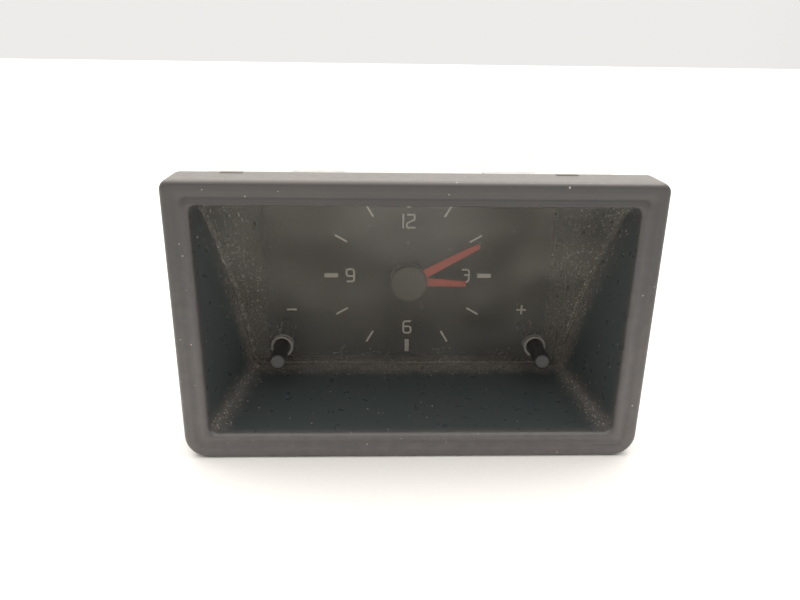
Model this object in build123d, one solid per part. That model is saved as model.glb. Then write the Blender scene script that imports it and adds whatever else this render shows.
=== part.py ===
from build123d import *
import math
import os

# Panel clock with an anti-glare hood: a bezel with a tapered tunnel behind it, a curved slanted
# lens, a printed dial with two hands, a stepping motor with its gear train, and a rear housing.
# Frame: x to the right and z up as the driver sees the clock, y from the driver into the panel.
# y = 0 is the bezel's seat plane, where its skirt meets the panel. Sizes are in millimetres.

# Bezel
bezel_width = 110.0
bezel_height = 68.0
bezel_top_radius = 2.4
bezel_bottom_radius = 5.6
bezel_inner_radius = 1.8
skirt_depth = 10.0
skirt_wall = 1.8
front_wall = 2.6
front_edge_radius = 1.3
groove_inset = 3.7
groove_radius = 1.6
groove_depth = 0.5
pad_places = (-41.0, 34.0)
pad_length = 5.0
pad_height = 0.2

# Tunnel: the bezel's borders round its opening, and how far its walls lean in for each
# millimetre of depth
border_sides = 6.2
border_top = 5.6
border_bottom = 6.6
opening_corner_radius = 2.0
opening_setback = 1.5
opening_edge_radius = 1.0
side_lean = 0.238
floor_lean = 0.162
roof_lean = 0.054
tunnel_wall = 1.8
bend_gap = 0.4

# Lens: a cylindrical sheet that leans back, bowed away from the driver
lens_top_depth = -6.0
lens_bottom_depth = 18.9
lens_bow = 2.2
lens_thickness = 1.6
lens_edge_gap = 0.05
lens_rail_depth = 0.5
lens_rail_height = 0.6
hand_room = 8.7

# Plates clamped behind the tunnel
plate_gap = 0.6
plate_corner_radius = 2.0
dial_thickness = 1.0
light_guide_thickness = 2.0
carrier_thickness = 1.2

# Dial print
print_thickness = 0.05
print_top_margin = 3.0
print_bottom_margin = 1.4
tick_length = 3.8
quarter_tick_width = 1.2
hour_tick_width = 0.5
numeral_gap = 3.4
numeral_drop = 0.45
numeral_height = 4.1
numeral_width = 2.6
numeral_stroke = 0.5
numeral_space = 0.5
numeral_corner_radius = 0.7
button_mark_length = 2.8
button_mark_shift = 1.2
button_mark_rise = 5.2

# Hands and hub, with the time shown at rest
minutes_shown = 10.2
hours_shown = 3.105
hand_sweep_gap = 1.0
hour_hand_shorter = 5.75
hand_root_width = 2.7
hand_tip_width = 1.5
hand_thickness = 0.55
hand_gap = 0.5
hub_edge_radius = 0.35
hub_cap_radius = 4.95
hub_cap_thickness = 1.7
hub_cap_height = 7.6
minute_hub_radius = 3.9
hour_hub_radius = 3.5
turret_gap = 0.35
turret_radius = 4.9
turret_spigot_radius = 3.4

# Arbors and running fits
arbor_radius = 1.55
arbor_nose_radius = 1.0
pivot_radius = 0.7
tube_wall = 0.8
slim_arbor_radius = 0.5
slim_pivot_radius = 0.4
running_gap = 0.05

# Gears: teeth and module. Both pairs of the motion work share one centre distance.
cannon_teeth = 12
motion_wheel_teeth = 36
cannon_module = 0.25
motion_pinion_teeth = 10
hour_wheel_teeth = 40
centre_wheel_teeth = 64
third_pinion_teeth = 8
centre_module = 0.24
third_wheel_teeth = 60
rotor_pinion_teeth = 8
third_module = 0.20
wheel_thickness = 0.6
wheel_gap = 0.25
pinion_overhang = 0.2
tooth_height = 0.75
tooth_depth = 1.15
centre_hole_place = 4.4
centre_hole_radius = 1.3
third_hole_place = 3.4
third_hole_radius = 1.0
web_hole_count = 4
motion_direction = 0.0
third_direction = 140.0
rotor_direction = 200.0

# Stepping motor
plate_spacing = 7.7
magnet_radius = 2.0
magnet_length = 1.6
air_gap = 0.6
stator_thickness = 1.0
stator_left = 8.0
stator_right = 8.5
stator_above = 4.8
coil_drop = 17.4
coil_length = 10.5
coil_radius = 2.7
coil_core_width = 2.4
bobbin_radius = 1.8
bobbin_flange = 0.6
bobbin_gap = 0.1
back_plate_thickness = 1.0
back_plate_margin = 0.5
post_radius = 2.2
post_right = 16.5
post_top = 13.0
post_beyond_stator = 3.4

# Circuit board and what stands on it
board_side_gap = 1.8
board_top = 7.5
board_bottom_gap = 0.3
board_corner_radius = 1.5
board_thickness = 1.6
board_gap = 2.4
board_room = 5.9
board_post_inset = 2.5
crystal_radius = 1.0
crystal_length = 6.0
crystal_place = (9.0, -1.0)
chip_length = 9.6
chip_width = 6.4
chip_height = 3.2
chip_place = (12.8, -8.0)
chip_leg_pitch = 2.54
chip_leg_width = 0.5
chip_leg_reach = 0.8
chip_lift = 0.6
capacitor_radius = 2.5
capacitor_height = 5.2
capacitor_place = (26.0, -12.0)
resistor_radius = 1.0
resistor_length = 10.0
resistor_inset = 6.0
resistor_pitch = 4.0
diode_radius = 1.2
diode_place = (23.0, -20.5)
lead_half_width = 0.3
lead_reach = 2.0
band_length = 1.4
connector_x = -12.0
connector_z = -14.0
blade_pitch = 6.0
blade_count = 3
blade_width = 2.8
blade_thickness = 0.8
blade_reach = 4.5
blade_slot_gap = 0.15
contact_radius = 1.4
contact_height = 0.4

# Setting buttons
button_inset = 5.7
button_rise = 7.46
button_radius = 2.0
button_proud = 11.3
button_travel = 1.5
button_tip_radius = 0.35
button_flange_reach = 1.2
button_flange_thickness = 1.0
button_tail_radius = 1.0
button_tail_gap = 0.5
lens_hole_gap = 0.35
lens_collar_wall = 0.6
lens_collar_height = 0.4
spring_radius = 1.9
spring_wire_radius = 0.18
spring_seat_gap = 0.02
spring_turns = 7

# Rear housing
housing_wall = 1.6
housing_side_gap = 0.4
housing_top_gap = 0.3
housing_front = -3.0
housing_rear_wall = 1.5
housing_corner_radius = 3.0
housing_edge_radius = 1.2
pillar_radius = 3.6
pillar_rib_width = 2.0
boss_radius = 2.9
boss_length = 7.7
boss_gap = 0.28
counterbore_radius = 2.9
screw_floor = 2.1
socket_width = 20.0
socket_height = 9.0
socket_depth = 9.0
socket_wall = 1.5
socket_step = 0.45
socket_step_width = 6.0
rib_height = 0.8
rib_width = 1.2
rib_drops = (5.7, 23.7, 29.7)
rib_inset = 12.0

# Lamp holder in the rear wall
lamp_x = 30.0
lamp_drop = 14.2
lamp_neck_radius = 5.0
lamp_flange_radius = 6.8
lamp_flange_thickness = 1.4
lamp_grip_height = 4.0
lamp_grip_width = 3.2
lamp_neck_length = 4.0
lamp_tab_reach = 1.3
lamp_tab_width = 2.6
lamp_notch_gap = 0.3
lamp_ring_gap = 0.5
lamp_ring_width = 1.5
bulb_radius = 2.5
bulb_length = 14.0

# Retaining clips
clip_x = 22.5
clip_width = 12.0
clip_thickness = 0.35
clip_bow = 0.8
clip_start = 1.0
clip_foot = 2.0
clip_span = 8.0
clip_hole_radius = 0.6

# Screws
screw_z = 18.0
screw_radius = 1.25
screw_head_radius = 2.6
screw_head_height = 1.6
small_screw_radius = 0.9
small_screw_head_radius = 1.9
small_screw_head_height = 1.0
clearance = 0.25

# Depths along y that follow from the sizes above
front_face = -skirt_depth
opening_face = front_face + opening_setback
rail_rear = lens_bottom_depth + lens_thickness + lens_rail_depth
bend_depth = rail_rear + bend_gap
dial_depth = rail_rear + hand_room
dial_rear = dial_depth + dial_thickness
guide_rear = dial_rear + light_guide_thickness
carrier_rear = guide_rear + carrier_thickness
back_plate_front = carrier_rear + plate_spacing
back_plate_rear = back_plate_front + back_plate_thickness
board_front = carrier_rear + plate_spacing + board_gap
board_rear = board_front + board_thickness
rear_wall_front = board_rear + board_room
housing_rear = rear_wall_front + housing_rear_wall
socket_rear = housing_rear + socket_depth
screw_seat = carrier_rear + screw_floor
cap_front = dial_depth - hub_cap_height
cap_rear = cap_front + hub_cap_thickness
minute_hand_rear = cap_rear + hand_thickness
hour_hand_front = minute_hand_rear + hand_gap
hour_hand_rear = hour_hand_front + hand_thickness
turret_front = hour_hand_rear + turret_gap
hour_wheel_front = dial_rear + 0.3
hour_wheel_rear = hour_wheel_front + wheel_thickness
motion_wheel_front = hour_wheel_rear + wheel_gap
motion_wheel_rear = motion_wheel_front + wheel_thickness
centre_wheel_front = carrier_rear + 0.5
third_wheel_front = centre_wheel_front + wheel_thickness + 0.8
rotor_top = third_wheel_front + wheel_thickness + 1.0
stator_front = rotor_top + (magnet_length - stator_thickness) / 2

# Places across the clock that follow from the sizes above
tube_inner_radius = arbor_radius + running_gap
tube_outer_radius = tube_inner_radius + tube_wall
motion_distance = (cannon_teeth + motion_wheel_teeth) * cannon_module / 2
motion_module = 2 * motion_distance / (motion_pinion_teeth + hour_wheel_teeth)
third_distance = (centre_wheel_teeth + third_pinion_teeth) * centre_module / 2
rotor_distance = (third_wheel_teeth + rotor_pinion_teeth) * third_module / 2
cannon_root = (cannon_teeth / 2 - tooth_depth) * cannon_module
opening_width = bezel_width - 2 * border_sides
opening_top = bezel_height / 2 - border_top
opening_bottom = border_bottom - bezel_height / 2
dial_half_width = opening_width / 2 - side_lean * (dial_depth - opening_face)
dial_top = opening_top - roof_lean * (dial_depth - opening_face)
tick_outer_radius = dial_top - print_top_margin
numeral_radius = tick_outer_radius - tick_length - numeral_gap
chamber_floor = -tick_outer_radius - print_bottom_margin
screw_x = dial_half_width + tunnel_wall + boss_radius + boss_gap
board_half_width = screw_x - pillar_radius - board_side_gap
button_flange_radius = button_radius + button_flange_reach
lens_hole_radius = button_radius + lens_hole_gap
lens_collar_radius = lens_hole_radius + lens_collar_wall


def polar(radius, degrees, centre=(0.0, 0.0)):
    """A point in x and z, at an angle counted from +x towards +z."""
    angle = math.radians(degrees)
    return (centre[0] + radius * math.cos(angle), centre[1] + radius * math.sin(angle))


motion_centre = polar(motion_distance, motion_direction)
third_centre = polar(third_distance, third_direction)
rotor_centre = polar(rotor_distance, rotor_direction, third_centre)


def depth_plane(depth):
    """The upright plane at y = depth, drawn in x and z."""
    return Plane(origin=(0, depth, 0), x_dir=(1, 0, 0), z_dir=(0, -1, 0))


def along_y(sketch, start, end):
    """A sketch drawn in x and z, as a solid from y = start to y = end."""
    return extrude(depth_plane(end) * sketch, end - start, dir=(0, -1, 0))


def rod(centre, radius, start, end):
    """A round bar along y."""
    return along_y(Pos(*centre) * Circle(radius), start, end)


def tube(centre, outer, inner, start, end):
    """A round tube along y."""
    return along_y(Pos(*centre) * (Circle(outer) - Circle(inner)), start, end)


def block(x_range, y_range, z_range):
    """A rectangular block between two values on each axis."""
    ranges = (x_range, y_range, z_range)
    centre = [(low + high) / 2 for low, high in ranges]
    size = [high - low for low, high in ranges]
    return Pos(*centre) * Box(*size)


def four_places(x, z):
    """Places at the four corners of a rectangle about the middle."""
    return [(side * x, level * z) for side in (-1, 1) for level in (-1, 1)]


# ---- Bezel, tunnel and lens -----------------------------------------------------------------


def floor_at(depth):
    """Height of the tunnel's floor, which rises as far as the lens and drops again behind it."""
    bend = opening_bottom + floor_lean * (min(depth, bend_depth) - opening_face)
    share = max(depth - bend_depth, 0) / (dial_depth - bend_depth)
    return bend + share * (chamber_floor - bend)


def tunnel_section(depth, grow):
    """The tunnel's inner outline at one depth, grown outwards by a distance."""
    run = depth - opening_face
    half_width = opening_width / 2 - side_lean * run + grow
    top = opening_top - roof_lean * run + grow
    bottom = floor_at(depth) - grow
    radius = max(opening_corner_radius + grow, 0.3)
    outline = RectangleRounded(2 * half_width, top - bottom, radius)
    return depth_plane(depth) * Pos(0, (top + bottom) / 2) * outline


def tunnel(start, end, grow):
    """A tapered solid that follows the tunnel between two depths."""
    depths = [start, bend_depth, end] if start < bend_depth < end else [start, end]
    return loft([tunnel_section(depth, grow) for depth in depths], ruled=True)


lens_top = opening_top - roof_lean * (lens_top_depth - opening_face)
lens_bottom = floor_at(lens_bottom_depth)
button_x = dial_half_width - button_inset
button_z = lens_bottom + button_rise
lens_chord = math.hypot(lens_bottom_depth - lens_top_depth, lens_top - lens_bottom)
lens_radius = (lens_chord**2 / 4 + lens_bow**2) / (2 * lens_bow)
lens_normal_y = (lens_top - lens_bottom) / lens_chord
lens_normal_z = (lens_bottom_depth - lens_top_depth) / lens_chord
lens_centre_y = (lens_top_depth + lens_bottom_depth) / 2 - (lens_radius - lens_bow) * lens_normal_y
lens_centre_z = (lens_top + lens_bottom) / 2 - (lens_radius - lens_bow) * lens_normal_z


def lens_front_at(height):
    """Depth of the lens's front surface at one height."""
    return lens_centre_y + math.sqrt(lens_radius**2 - (height - lens_centre_z) ** 2)


def lens_shell(near, far):
    """The curved sheet between two distances behind the lens's front surface."""
    sheet = Circle(lens_radius + far) - Circle(lens_radius + near)
    middle = Plane(origin=(0, lens_centre_y, lens_centre_z), x_dir=(0, 1, 0), z_dir=(1, 0, 0))
    return extrude(middle * sheet, bezel_width / 2, both=True)


def bezel_outline(inset):
    """The bezel's outer outline, drawn in by a distance. Its top corners are tighter."""
    outline = Rectangle(bezel_width - 2 * inset, bezel_height - 2 * inset)
    top_radius = max(bezel_top_radius - inset, bezel_inner_radius)
    bottom_radius = max(bezel_bottom_radius - inset, bezel_inner_radius)
    outline = fillet(outline.vertices().group_by(Axis.Y)[-1], top_radius)
    return fillet(outline.vertices().group_by(Axis.Y)[0], bottom_radius)


def front_groove():
    """The shallow round-bottomed groove that runs round the bezel's front face."""
    lift = groove_radius - groove_depth
    plane = depth_plane(front_face - lift)
    path = (plane * bezel_outline(groove_inset)).face().outer_wire()
    start = path @ 0
    section = Plane(origin=start, z_dir=path % 0) * Circle(groove_radius)
    return sweep(section, path=path)


def bezel_hood():
    """Bezel, skirt and tunnel in one moulding, with a rail behind the lens and four screw bosses."""
    front = along_y(bezel_outline(0), front_face, front_face + front_wall)
    front = fillet(front.faces().sort_by(Axis.Y)[0].edges(), front_edge_radius)
    skirt = along_y(bezel_outline(0) - bezel_outline(skirt_wall), front_face + front_wall, 0)
    body = front + skirt
    body += tunnel(front_face + front_wall / 2, dial_depth, tunnel_wall)
    for place in four_places(screw_x, screw_z):
        body += rod(place, boss_radius, dial_depth - boss_length, dial_depth)
    body -= tunnel(front_face - 1, dial_depth + 1, 0)
    mouth = [
        edge
        for edge in body.edges().filter_by_position(Axis.Y, front_face - 0.01, front_face + 0.01)
        if max(abs(edge.center().X) * 2 / opening_width, abs(edge.center().Z) * 2 / bezel_height) < 1.03
    ]
    body = fillet(mouth, opening_edge_radius)
    body -= front_groove()
    rail = lens_shell(lens_thickness, lens_thickness + lens_rail_depth)
    rail &= tunnel(front_face, dial_depth, 0.2) - tunnel(front_face, dial_depth, -lens_rail_height)
    body += rail
    for place in four_places(screw_x, screw_z):
        body -= rod(place, screw_radius, dial_depth - boss_length + 1.0, dial_depth)
    for x in pad_places:
        half = pad_length / 2
        top = bezel_height / 2
        body += block((x - half, x + half), (-1.8, -0.4), (top - 0.5, top + pad_height))
    return body


def lens():
    """Clear lens with a raised collar round the hole for each setting button."""
    sheet = lens_shell(0, lens_thickness)
    sheet &= tunnel(front_face, dial_depth, -lens_edge_gap)
    for side in (-1, 1):
        place = (side * button_x, button_z)
        front = lens_front_at(button_z + lens_collar_radius) - lens_collar_height
        rear = lens_front_at(button_z)
        sheet += rod(place, lens_collar_radius, front, rear + lens_thickness / 2)
        sheet -= rod(place, lens_hole_radius, front - 1, rear + 2 * lens_thickness)
    return sheet


# ---- Dial and the plates behind it ----------------------------------------------------------

plate_half_width = screw_x + screw_radius + 1.6
plate_top = dial_top + tunnel_wall
plate_bottom = floor_at(dial_depth) - tunnel_wall - plate_gap


def clamped_plate(start, end, button_hole):
    """A plate that the housing screws clamp, with holes for the screws and the buttons."""
    size = (2 * plate_half_width, plate_top - plate_bottom, plate_corner_radius)
    sketch = Pos(0, (plate_top + plate_bottom) / 2) * RectangleRounded(*size)
    for place in four_places(screw_x, screw_z):
        sketch -= Pos(*place) * Circle(screw_radius + clearance)
    for side in (-1, 1):
        sketch -= Pos(side * button_x, button_z) * Circle(button_hole)
    return along_y(sketch, start, end)


def dial_plate():
    """Dark dial, closing the rear end of the tunnel."""
    plate = clamped_plate(dial_depth, dial_rear, button_radius + clearance)
    return plate - rod((0, 0), turret_spigot_radius, dial_depth, dial_rear)


def light_guide():
    """Clear plate behind the dial, open in the middle for the motion work."""
    plate = clamped_plate(dial_rear, guide_rear, button_radius + clearance)
    reach = motion_distance + motion_wheel_teeth * cannon_module / 2 + 1.0
    return plate - rod((0, 0), reach, dial_rear, guide_rear)


def stroke(start, end, width):
    """A thin printed line between two points in x and z, with square ends."""
    length = math.hypot(end[0] - start[0], end[1] - start[1])
    angle = math.degrees(math.atan2(end[1] - start[1], end[0] - start[0]))
    middle = Pos((start[0] + end[0]) / 2, (start[1] + end[1]) / 2)
    return middle * Rot(0, 0, angle) * Rectangle(length, width)


def numeral_line(points, radius):
    """A printed line through points in x and z, with rounded bends and square ends."""
    return trace(FilletPolyline(*points, radius=radius), line_width=numeral_stroke)


def numeral(digit, centre):
    """One squarish numeral of the dial with rounded corners, about a centre in x and z."""
    right = (numeral_width - numeral_stroke) / 2
    left = -right
    top = (numeral_height - numeral_stroke) / 2
    bottom = -top
    waist = 0.05 * numeral_height
    radius = numeral_corner_radius
    if digit == "1":
        sketch = Rectangle(numeral_stroke, numeral_height)
    elif digit == "2":
        bend = [(right, 2 * waist), (left, -3 * waist)]
        foot = [(left, bottom), (numeral_width / 2, bottom)]
        sketch = numeral_line([(left, top), (right, top)] + bend + foot, radius / 2)
    elif digit == "3":
        sketch = numeral_line([(left, top), (right, top), (right, bottom), (left, bottom)], radius)
        sketch += stroke((left / 3, waist), (right, waist), numeral_stroke)
    else:
        hook = [(right, top), (left, top), (left, bottom), (right, bottom)]
        sketch = numeral_line(hook + [(right, waist), (0, waist)], radius)
        sketch += stroke((left, waist), (0, waist), numeral_stroke)
    turn = 180 if digit == "9" else 0
    return Pos(*centre) * Rot(0, 0, turn) * sketch


def dial_markings():
    """Pale print: twelve hour ticks, four numerals, and a minus and a plus over the buttons."""
    print_sketch = Sketch()
    for hour in range(12):
        width = quarter_tick_width if hour % 3 == 0 else hour_tick_width
        middle = polar(tick_outer_radius - tick_length / 2, 30 * hour)
        print_sketch += Pos(*middle) * Rot(0, 0, 30 * hour) * Rectangle(tick_length, width)
    half_width = (numeral_stroke + numeral_space + numeral_width) / 2
    height = numeral_radius - numeral_drop
    print_sketch += numeral("1", (numeral_stroke / 2 - half_width, height))
    print_sketch += numeral("2", (half_width - numeral_width / 2, height))
    print_sketch += numeral("3", (numeral_radius, 0))
    print_sketch += numeral("6", (0, -height))
    print_sketch += numeral("9", (-numeral_radius, 0))
    for side in (-1, 1):
        place = Pos(side * (button_x - button_mark_shift), button_z + button_mark_rise)
        print_sketch += place * Rectangle(button_mark_length, numeral_stroke)
        if side > 0:
            print_sketch += place * Rectangle(numeral_stroke, button_mark_length)
    return along_y(print_sketch, dial_depth - print_thickness, dial_depth)


def centre_turret():
    """Dark bearing boss on the dial that carries the hour hand's tube."""
    boss = rod((0, 0), turret_radius, turret_front, dial_depth)
    boss += rod((0, 0), turret_spigot_radius, dial_depth, dial_rear)
    return boss - rod((0, 0), tube_outer_radius + running_gap, turret_front, dial_rear)


# ---- Gears ----------------------------------------------------------------------------------


def gear(centre, teeth, module, first_tooth, start, end):
    """A spur gear along y with slim straight-sided teeth; first_tooth is one tooth's direction."""
    pitch_radius = teeth * module / 2
    tip_radius = pitch_radius + tooth_height * module
    root_radius = pitch_radius - tooth_depth * module
    pitch_angle = 360 / teeth
    half_root = 0.24 * pitch_angle
    half_tip = 0.08 * pitch_angle
    points = []
    for tooth in range(teeth):
        middle = first_tooth + tooth * pitch_angle
        points.append(polar(root_radius, middle - half_root))
        points.append(polar(tip_radius, middle - half_tip))
        points.append(polar(tip_radius, middle + half_tip))
        points.append(polar(root_radius, middle + half_root))
    outline = make_face(Polyline(*points, close=True))
    return along_y(Pos(*centre) * outline, start, end)


def facing_gap(direction, teeth):
    """The first tooth's direction for a gear with a gap turned back along a line of centres."""
    return direction + 180 + 180 / teeth


def web_holes(centre, radius, hole_radius, start, end):
    """Round lightening holes in a wheel's web."""
    holes = Sketch()
    for step in range(web_hole_count):
        holes += Pos(*polar(radius, 360 * step / web_hole_count + 45, centre)) * Circle(hole_radius)
    return along_y(holes, start, end)


def minute_arbor():
    """Steel arbor with the cannon pinion, turning once an hour."""
    cannon_front = motion_wheel_front - pinion_overhang / 2
    cannon_rear = motion_wheel_rear + pinion_overhang / 2
    arbor = rod((0, 0), arbor_nose_radius, cap_front + hub_cap_thickness / 2, minute_hand_rear)
    arbor += rod((0, 0), arbor_radius, minute_hand_rear, cannon_front)
    first = motion_direction
    arbor += gear((0, 0), cannon_teeth, cannon_module, first, cannon_front, cannon_rear)
    arbor += rod((0, 0), cannon_root, cannon_rear, centre_wheel_front + wheel_thickness + 0.2)
    return arbor + rod((0, 0), pivot_radius, centre_wheel_front, back_plate_rear)


def centre_wheel():
    """Brass wheel pressed on the minute arbor."""
    rear = centre_wheel_front + wheel_thickness
    wheel = gear((0, 0), centre_wheel_teeth, centre_module, third_direction, centre_wheel_front, rear)
    wheel -= rod((0, 0), cannon_root, centre_wheel_front, rear)
    return wheel - web_holes((0, 0), centre_hole_place, centre_hole_radius, centre_wheel_front, rear)


def hour_wheel():
    """Hour wheel and its tube, which runs on the minute arbor and in the turret."""
    teeth = facing_gap(motion_direction + 180, hour_wheel_teeth)
    wheel = gear((0, 0), hour_wheel_teeth, motion_module, teeth, hour_wheel_front, hour_wheel_rear)
    wheel += rod((0, 0), tube_outer_radius, hour_hand_front, hour_wheel_front)
    return wheel - rod((0, 0), tube_inner_radius, hour_hand_front, hour_wheel_rear)


def motion_wheel():
    """Wheel and pinion of the motion work, moulded in one, running on the carrier's post."""
    first = facing_gap(motion_direction, motion_wheel_teeth)
    wheel = gear(
        motion_centre, motion_wheel_teeth, cannon_module, first, motion_wheel_front, motion_wheel_rear
    )
    front = hour_wheel_front - pinion_overhang / 2
    first = motion_direction + 180
    wheel += gear(motion_centre, motion_pinion_teeth, motion_module, first, front, motion_wheel_front)
    return wheel - rod(motion_centre, slim_arbor_radius + running_gap, front, motion_wheel_rear)


def third_arbor():
    """Third arbor with its pinion and a pivot at each end."""
    pinion_front = centre_wheel_front - pinion_overhang
    pinion_rear = centre_wheel_front + wheel_thickness + pinion_overhang
    first = facing_gap(third_direction, third_pinion_teeth)
    arbor = gear(third_centre, third_pinion_teeth, centre_module, first, pinion_front, pinion_rear)
    arbor += rod(third_centre, slim_arbor_radius, pinion_rear, back_plate_front - 0.2)
    return arbor + rod(third_centre, slim_pivot_radius, guide_rear + 0.2, back_plate_rear)


def third_wheel():
    """Moulded wheel on the third arbor."""
    rear = third_wheel_front + wheel_thickness
    teeth = third_wheel_teeth
    wheel = gear(third_centre, teeth, third_module, rotor_direction, third_wheel_front, rear)
    wheel -= rod(third_centre, slim_arbor_radius, third_wheel_front, rear)
    return wheel - web_holes(third_centre, third_hole_place, third_hole_radius, third_wheel_front, rear)


def rotor_arbor():
    """Rotor arbor with its pinion and a pivot at each end."""
    pinion_front = third_wheel_front - pinion_overhang
    pinion_rear = third_wheel_front + wheel_thickness + pinion_overhang
    first = facing_gap(rotor_direction, rotor_pinion_teeth)
    arbor = gear(rotor_centre, rotor_pinion_teeth, third_module, first, pinion_front, pinion_rear)
    arbor += rod(rotor_centre, slim_arbor_radius, pinion_rear, back_plate_front - 0.2)
    return arbor + rod(rotor_centre, slim_pivot_radius, guide_rear + 0.2, back_plate_rear)


def rotor_magnet():
    """Round two-pole magnet on the rotor arbor."""
    return tube(rotor_centre, magnet_radius, slim_arbor_radius, rotor_top, rotor_top + magnet_length)


# ---- Hands ----------------------------------------------------------------------------------

minute_hand_length = -floor_at(bend_depth) - hand_sweep_gap
hour_hand_length = minute_hand_length - hour_hand_shorter


def hand(length, hub_radius, hole_radius, dial_angle, front):
    """A slim tapered blade on a round hub, pointing at an angle clockwise from twelve."""
    blade = make_face(
        Polyline(
            (-hand_root_width / 2, 0),
            (-hand_tip_width / 2, length),
            (hand_tip_width / 2, length),
            (hand_root_width / 2, 0),
            close=True,
        )
    )
    outline = Rot(0, 0, -dial_angle) * (blade + Circle(hub_radius)) - Circle(hole_radius)
    return along_y(outline, front, front + hand_thickness)


def minute_hand():
    """Minute hand, pressed on the arbor's nose under the cap."""
    angle = 6 * minutes_shown
    return hand(minute_hand_length, minute_hub_radius, arbor_nose_radius, angle, cap_rear)


def hour_hand():
    """Hour hand, pressed on the hour wheel's tube."""
    angle = 30 * hours_shown
    return hand(hour_hand_length, hour_hub_radius, tube_outer_radius, angle, hour_hand_front)


def hub_cap():
    """Flat cap over the hands, pressed on the arbor's nose."""
    cap = rod((0, 0), hub_cap_radius, cap_front, cap_rear)
    cap = fillet(cap.faces().sort_by(Axis.Y)[0].edges(), hub_edge_radius)
    return cap - rod((0, 0), arbor_nose_radius, cap_front + hub_cap_thickness / 2, cap_rear)


# ---- Carrier, motor and back plate ----------------------------------------------------------

post_left = rotor_centre[0] - stator_left - post_beyond_stator
post_bottom = rotor_centre[1] - coil_drop - post_beyond_stator
movement_places = [(x, z) for x in (post_left, post_right) for z in (post_top, post_bottom)]
board_bottom = plate_bottom + board_bottom_gap
board_places = [
    (side * (board_half_width - board_post_inset), level)
    for side in (-1, 1)
    for level in (board_bottom + board_post_inset, board_top - board_post_inset)
]


def movement_carrier():
    """Plate that carries the movement and the circuit board on moulded posts."""
    plate = clamped_plate(guide_rear, carrier_rear, button_radius + running_gap)
    for place in movement_places:
        plate += rod(place, post_radius, carrier_rear, back_plate_front)
        plate -= rod(place, small_screw_radius, carrier_rear + 1.0, back_plate_front)
    for place in board_places:
        plate += rod(place, post_radius, carrier_rear, board_front)
        plate -= rod(place, small_screw_radius, carrier_rear + 4.0, board_front)
    plate -= rod((lamp_x, lamp_z), bulb_radius + 2.0, guide_rear, carrier_rear)
    plate -= rod((0, 0), cannon_root + running_gap, guide_rear, carrier_rear)
    for centre in (third_centre, rotor_centre):
        plate -= rod(centre, slim_pivot_radius + running_gap, guide_rear, carrier_rear)
    plate += rod(motion_centre, slim_arbor_radius, hour_wheel_front - 0.1, guide_rear)
    return plate


def movement_back_plate():
    """Rear bearing plate of the movement."""
    xs = [place[0] for place in movement_places]
    zs = [place[1] for place in movement_places]
    width = max(xs) - min(xs) + 2 * (post_radius + back_plate_margin)
    height = max(zs) - min(zs) + 2 * (post_radius + back_plate_margin)
    middle = Pos((max(xs) + min(xs)) / 2, (max(zs) + min(zs)) / 2)
    sketch = middle * RectangleRounded(width, height, post_radius)
    for place in movement_places:
        sketch -= Pos(*place) * Circle(small_screw_radius + 0.1)
    sketch -= Circle(pivot_radius + running_gap)
    for centre in (third_centre, rotor_centre):
        sketch -= Pos(*centre) * Circle(slim_pivot_radius + running_gap)
    return along_y(sketch, back_plate_front, back_plate_rear)


coil_centre = (rotor_centre[0] + (stator_right - stator_left) / 2, rotor_centre[1] - coil_drop)
coil_depth = stator_front + stator_thickness / 2
coil_ends = (coil_centre[0] - coil_length / 2, coil_centre[0] + coil_length / 2)


def along_x(depth, height, sketch, start, end):
    """A sketch about a point in y and z, as a solid from x = start to x = end."""
    plane = Plane(origin=(start, depth, height), x_dir=(0, 1, 0), z_dir=(1, 0, 0))
    return extrude(plane * sketch, end - start)


def stator_plate():
    """Soft iron plate round the rotor, with two legs that hold the coil between them."""
    left = rotor_centre[0] - stator_left
    right = rotor_centre[0] + stator_right
    top = rotor_centre[1] + stator_above
    bottom = coil_centre[1] - coil_radius - 1.2
    window_top = coil_centre[1] + coil_radius + 1.0
    depths = (stator_front, stator_front + stator_thickness)
    plate = block((left, right), depths, (bottom, top))
    plate -= block(coil_ends, depths, (bottom, window_top))
    plate -= rod(rotor_centre, magnet_radius + air_gap, *depths)
    plate -= rod(third_centre, slim_arbor_radius + 0.8, *depths)
    return plate


def coil_core():
    """Soft iron bar through the coil, between the stator's legs."""
    core = Rectangle(stator_thickness, coil_core_width)
    return along_x(coil_depth, coil_centre[1], core, *coil_ends)


def coil_bobbin():
    """Moulded bobbin with a flange at each end."""
    start, end = coil_ends
    hollow = Rectangle(stator_thickness + bobbin_gap, coil_core_width + bobbin_gap)
    barrel = Circle(bobbin_radius) - hollow
    flange = Circle(coil_radius + 0.3) - hollow
    start += bobbin_gap
    end -= bobbin_gap
    bobbin = along_x(coil_depth, coil_centre[1], barrel, start, end)
    bobbin += along_x(coil_depth, coil_centre[1], flange, start, start + bobbin_flange)
    return bobbin + along_x(coil_depth, coil_centre[1], flange, end - bobbin_flange, end)


def coil_winding():
    """Copper winding between the bobbin's flanges."""
    ring = Circle(coil_radius) - Circle(bobbin_radius)
    margin = bobbin_gap + bobbin_flange
    return along_x(coil_depth, coil_centre[1], ring, coil_ends[0] + margin, coil_ends[1] - margin)


# ---- Screws ---------------------------------------------------------------------------------


def screw(centre, radius, head_radius, head_height, tip, seat):
    """A pan-head screw driven from the rear, with a cross recess."""
    head = rod(centre, head_radius, seat, seat + head_height)
    head = fillet(head.faces().sort_by(Axis.Y)[-1].edges(), 0.4 * head_height)
    cross = Rectangle(1.2 * head_radius, 0.28 * head_radius)
    cross += Rectangle(0.28 * head_radius, 1.2 * head_radius)
    head -= along_y(Pos(*centre) * cross, seat + 0.45 * head_height, seat + head_height)
    return head + rod(centre, radius, tip, seat)


def group(shapes):
    """Separate solids kept together as one sub-part."""
    return Compound(children=[solid for shape in shapes for solid in shape.solids()])


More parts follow.
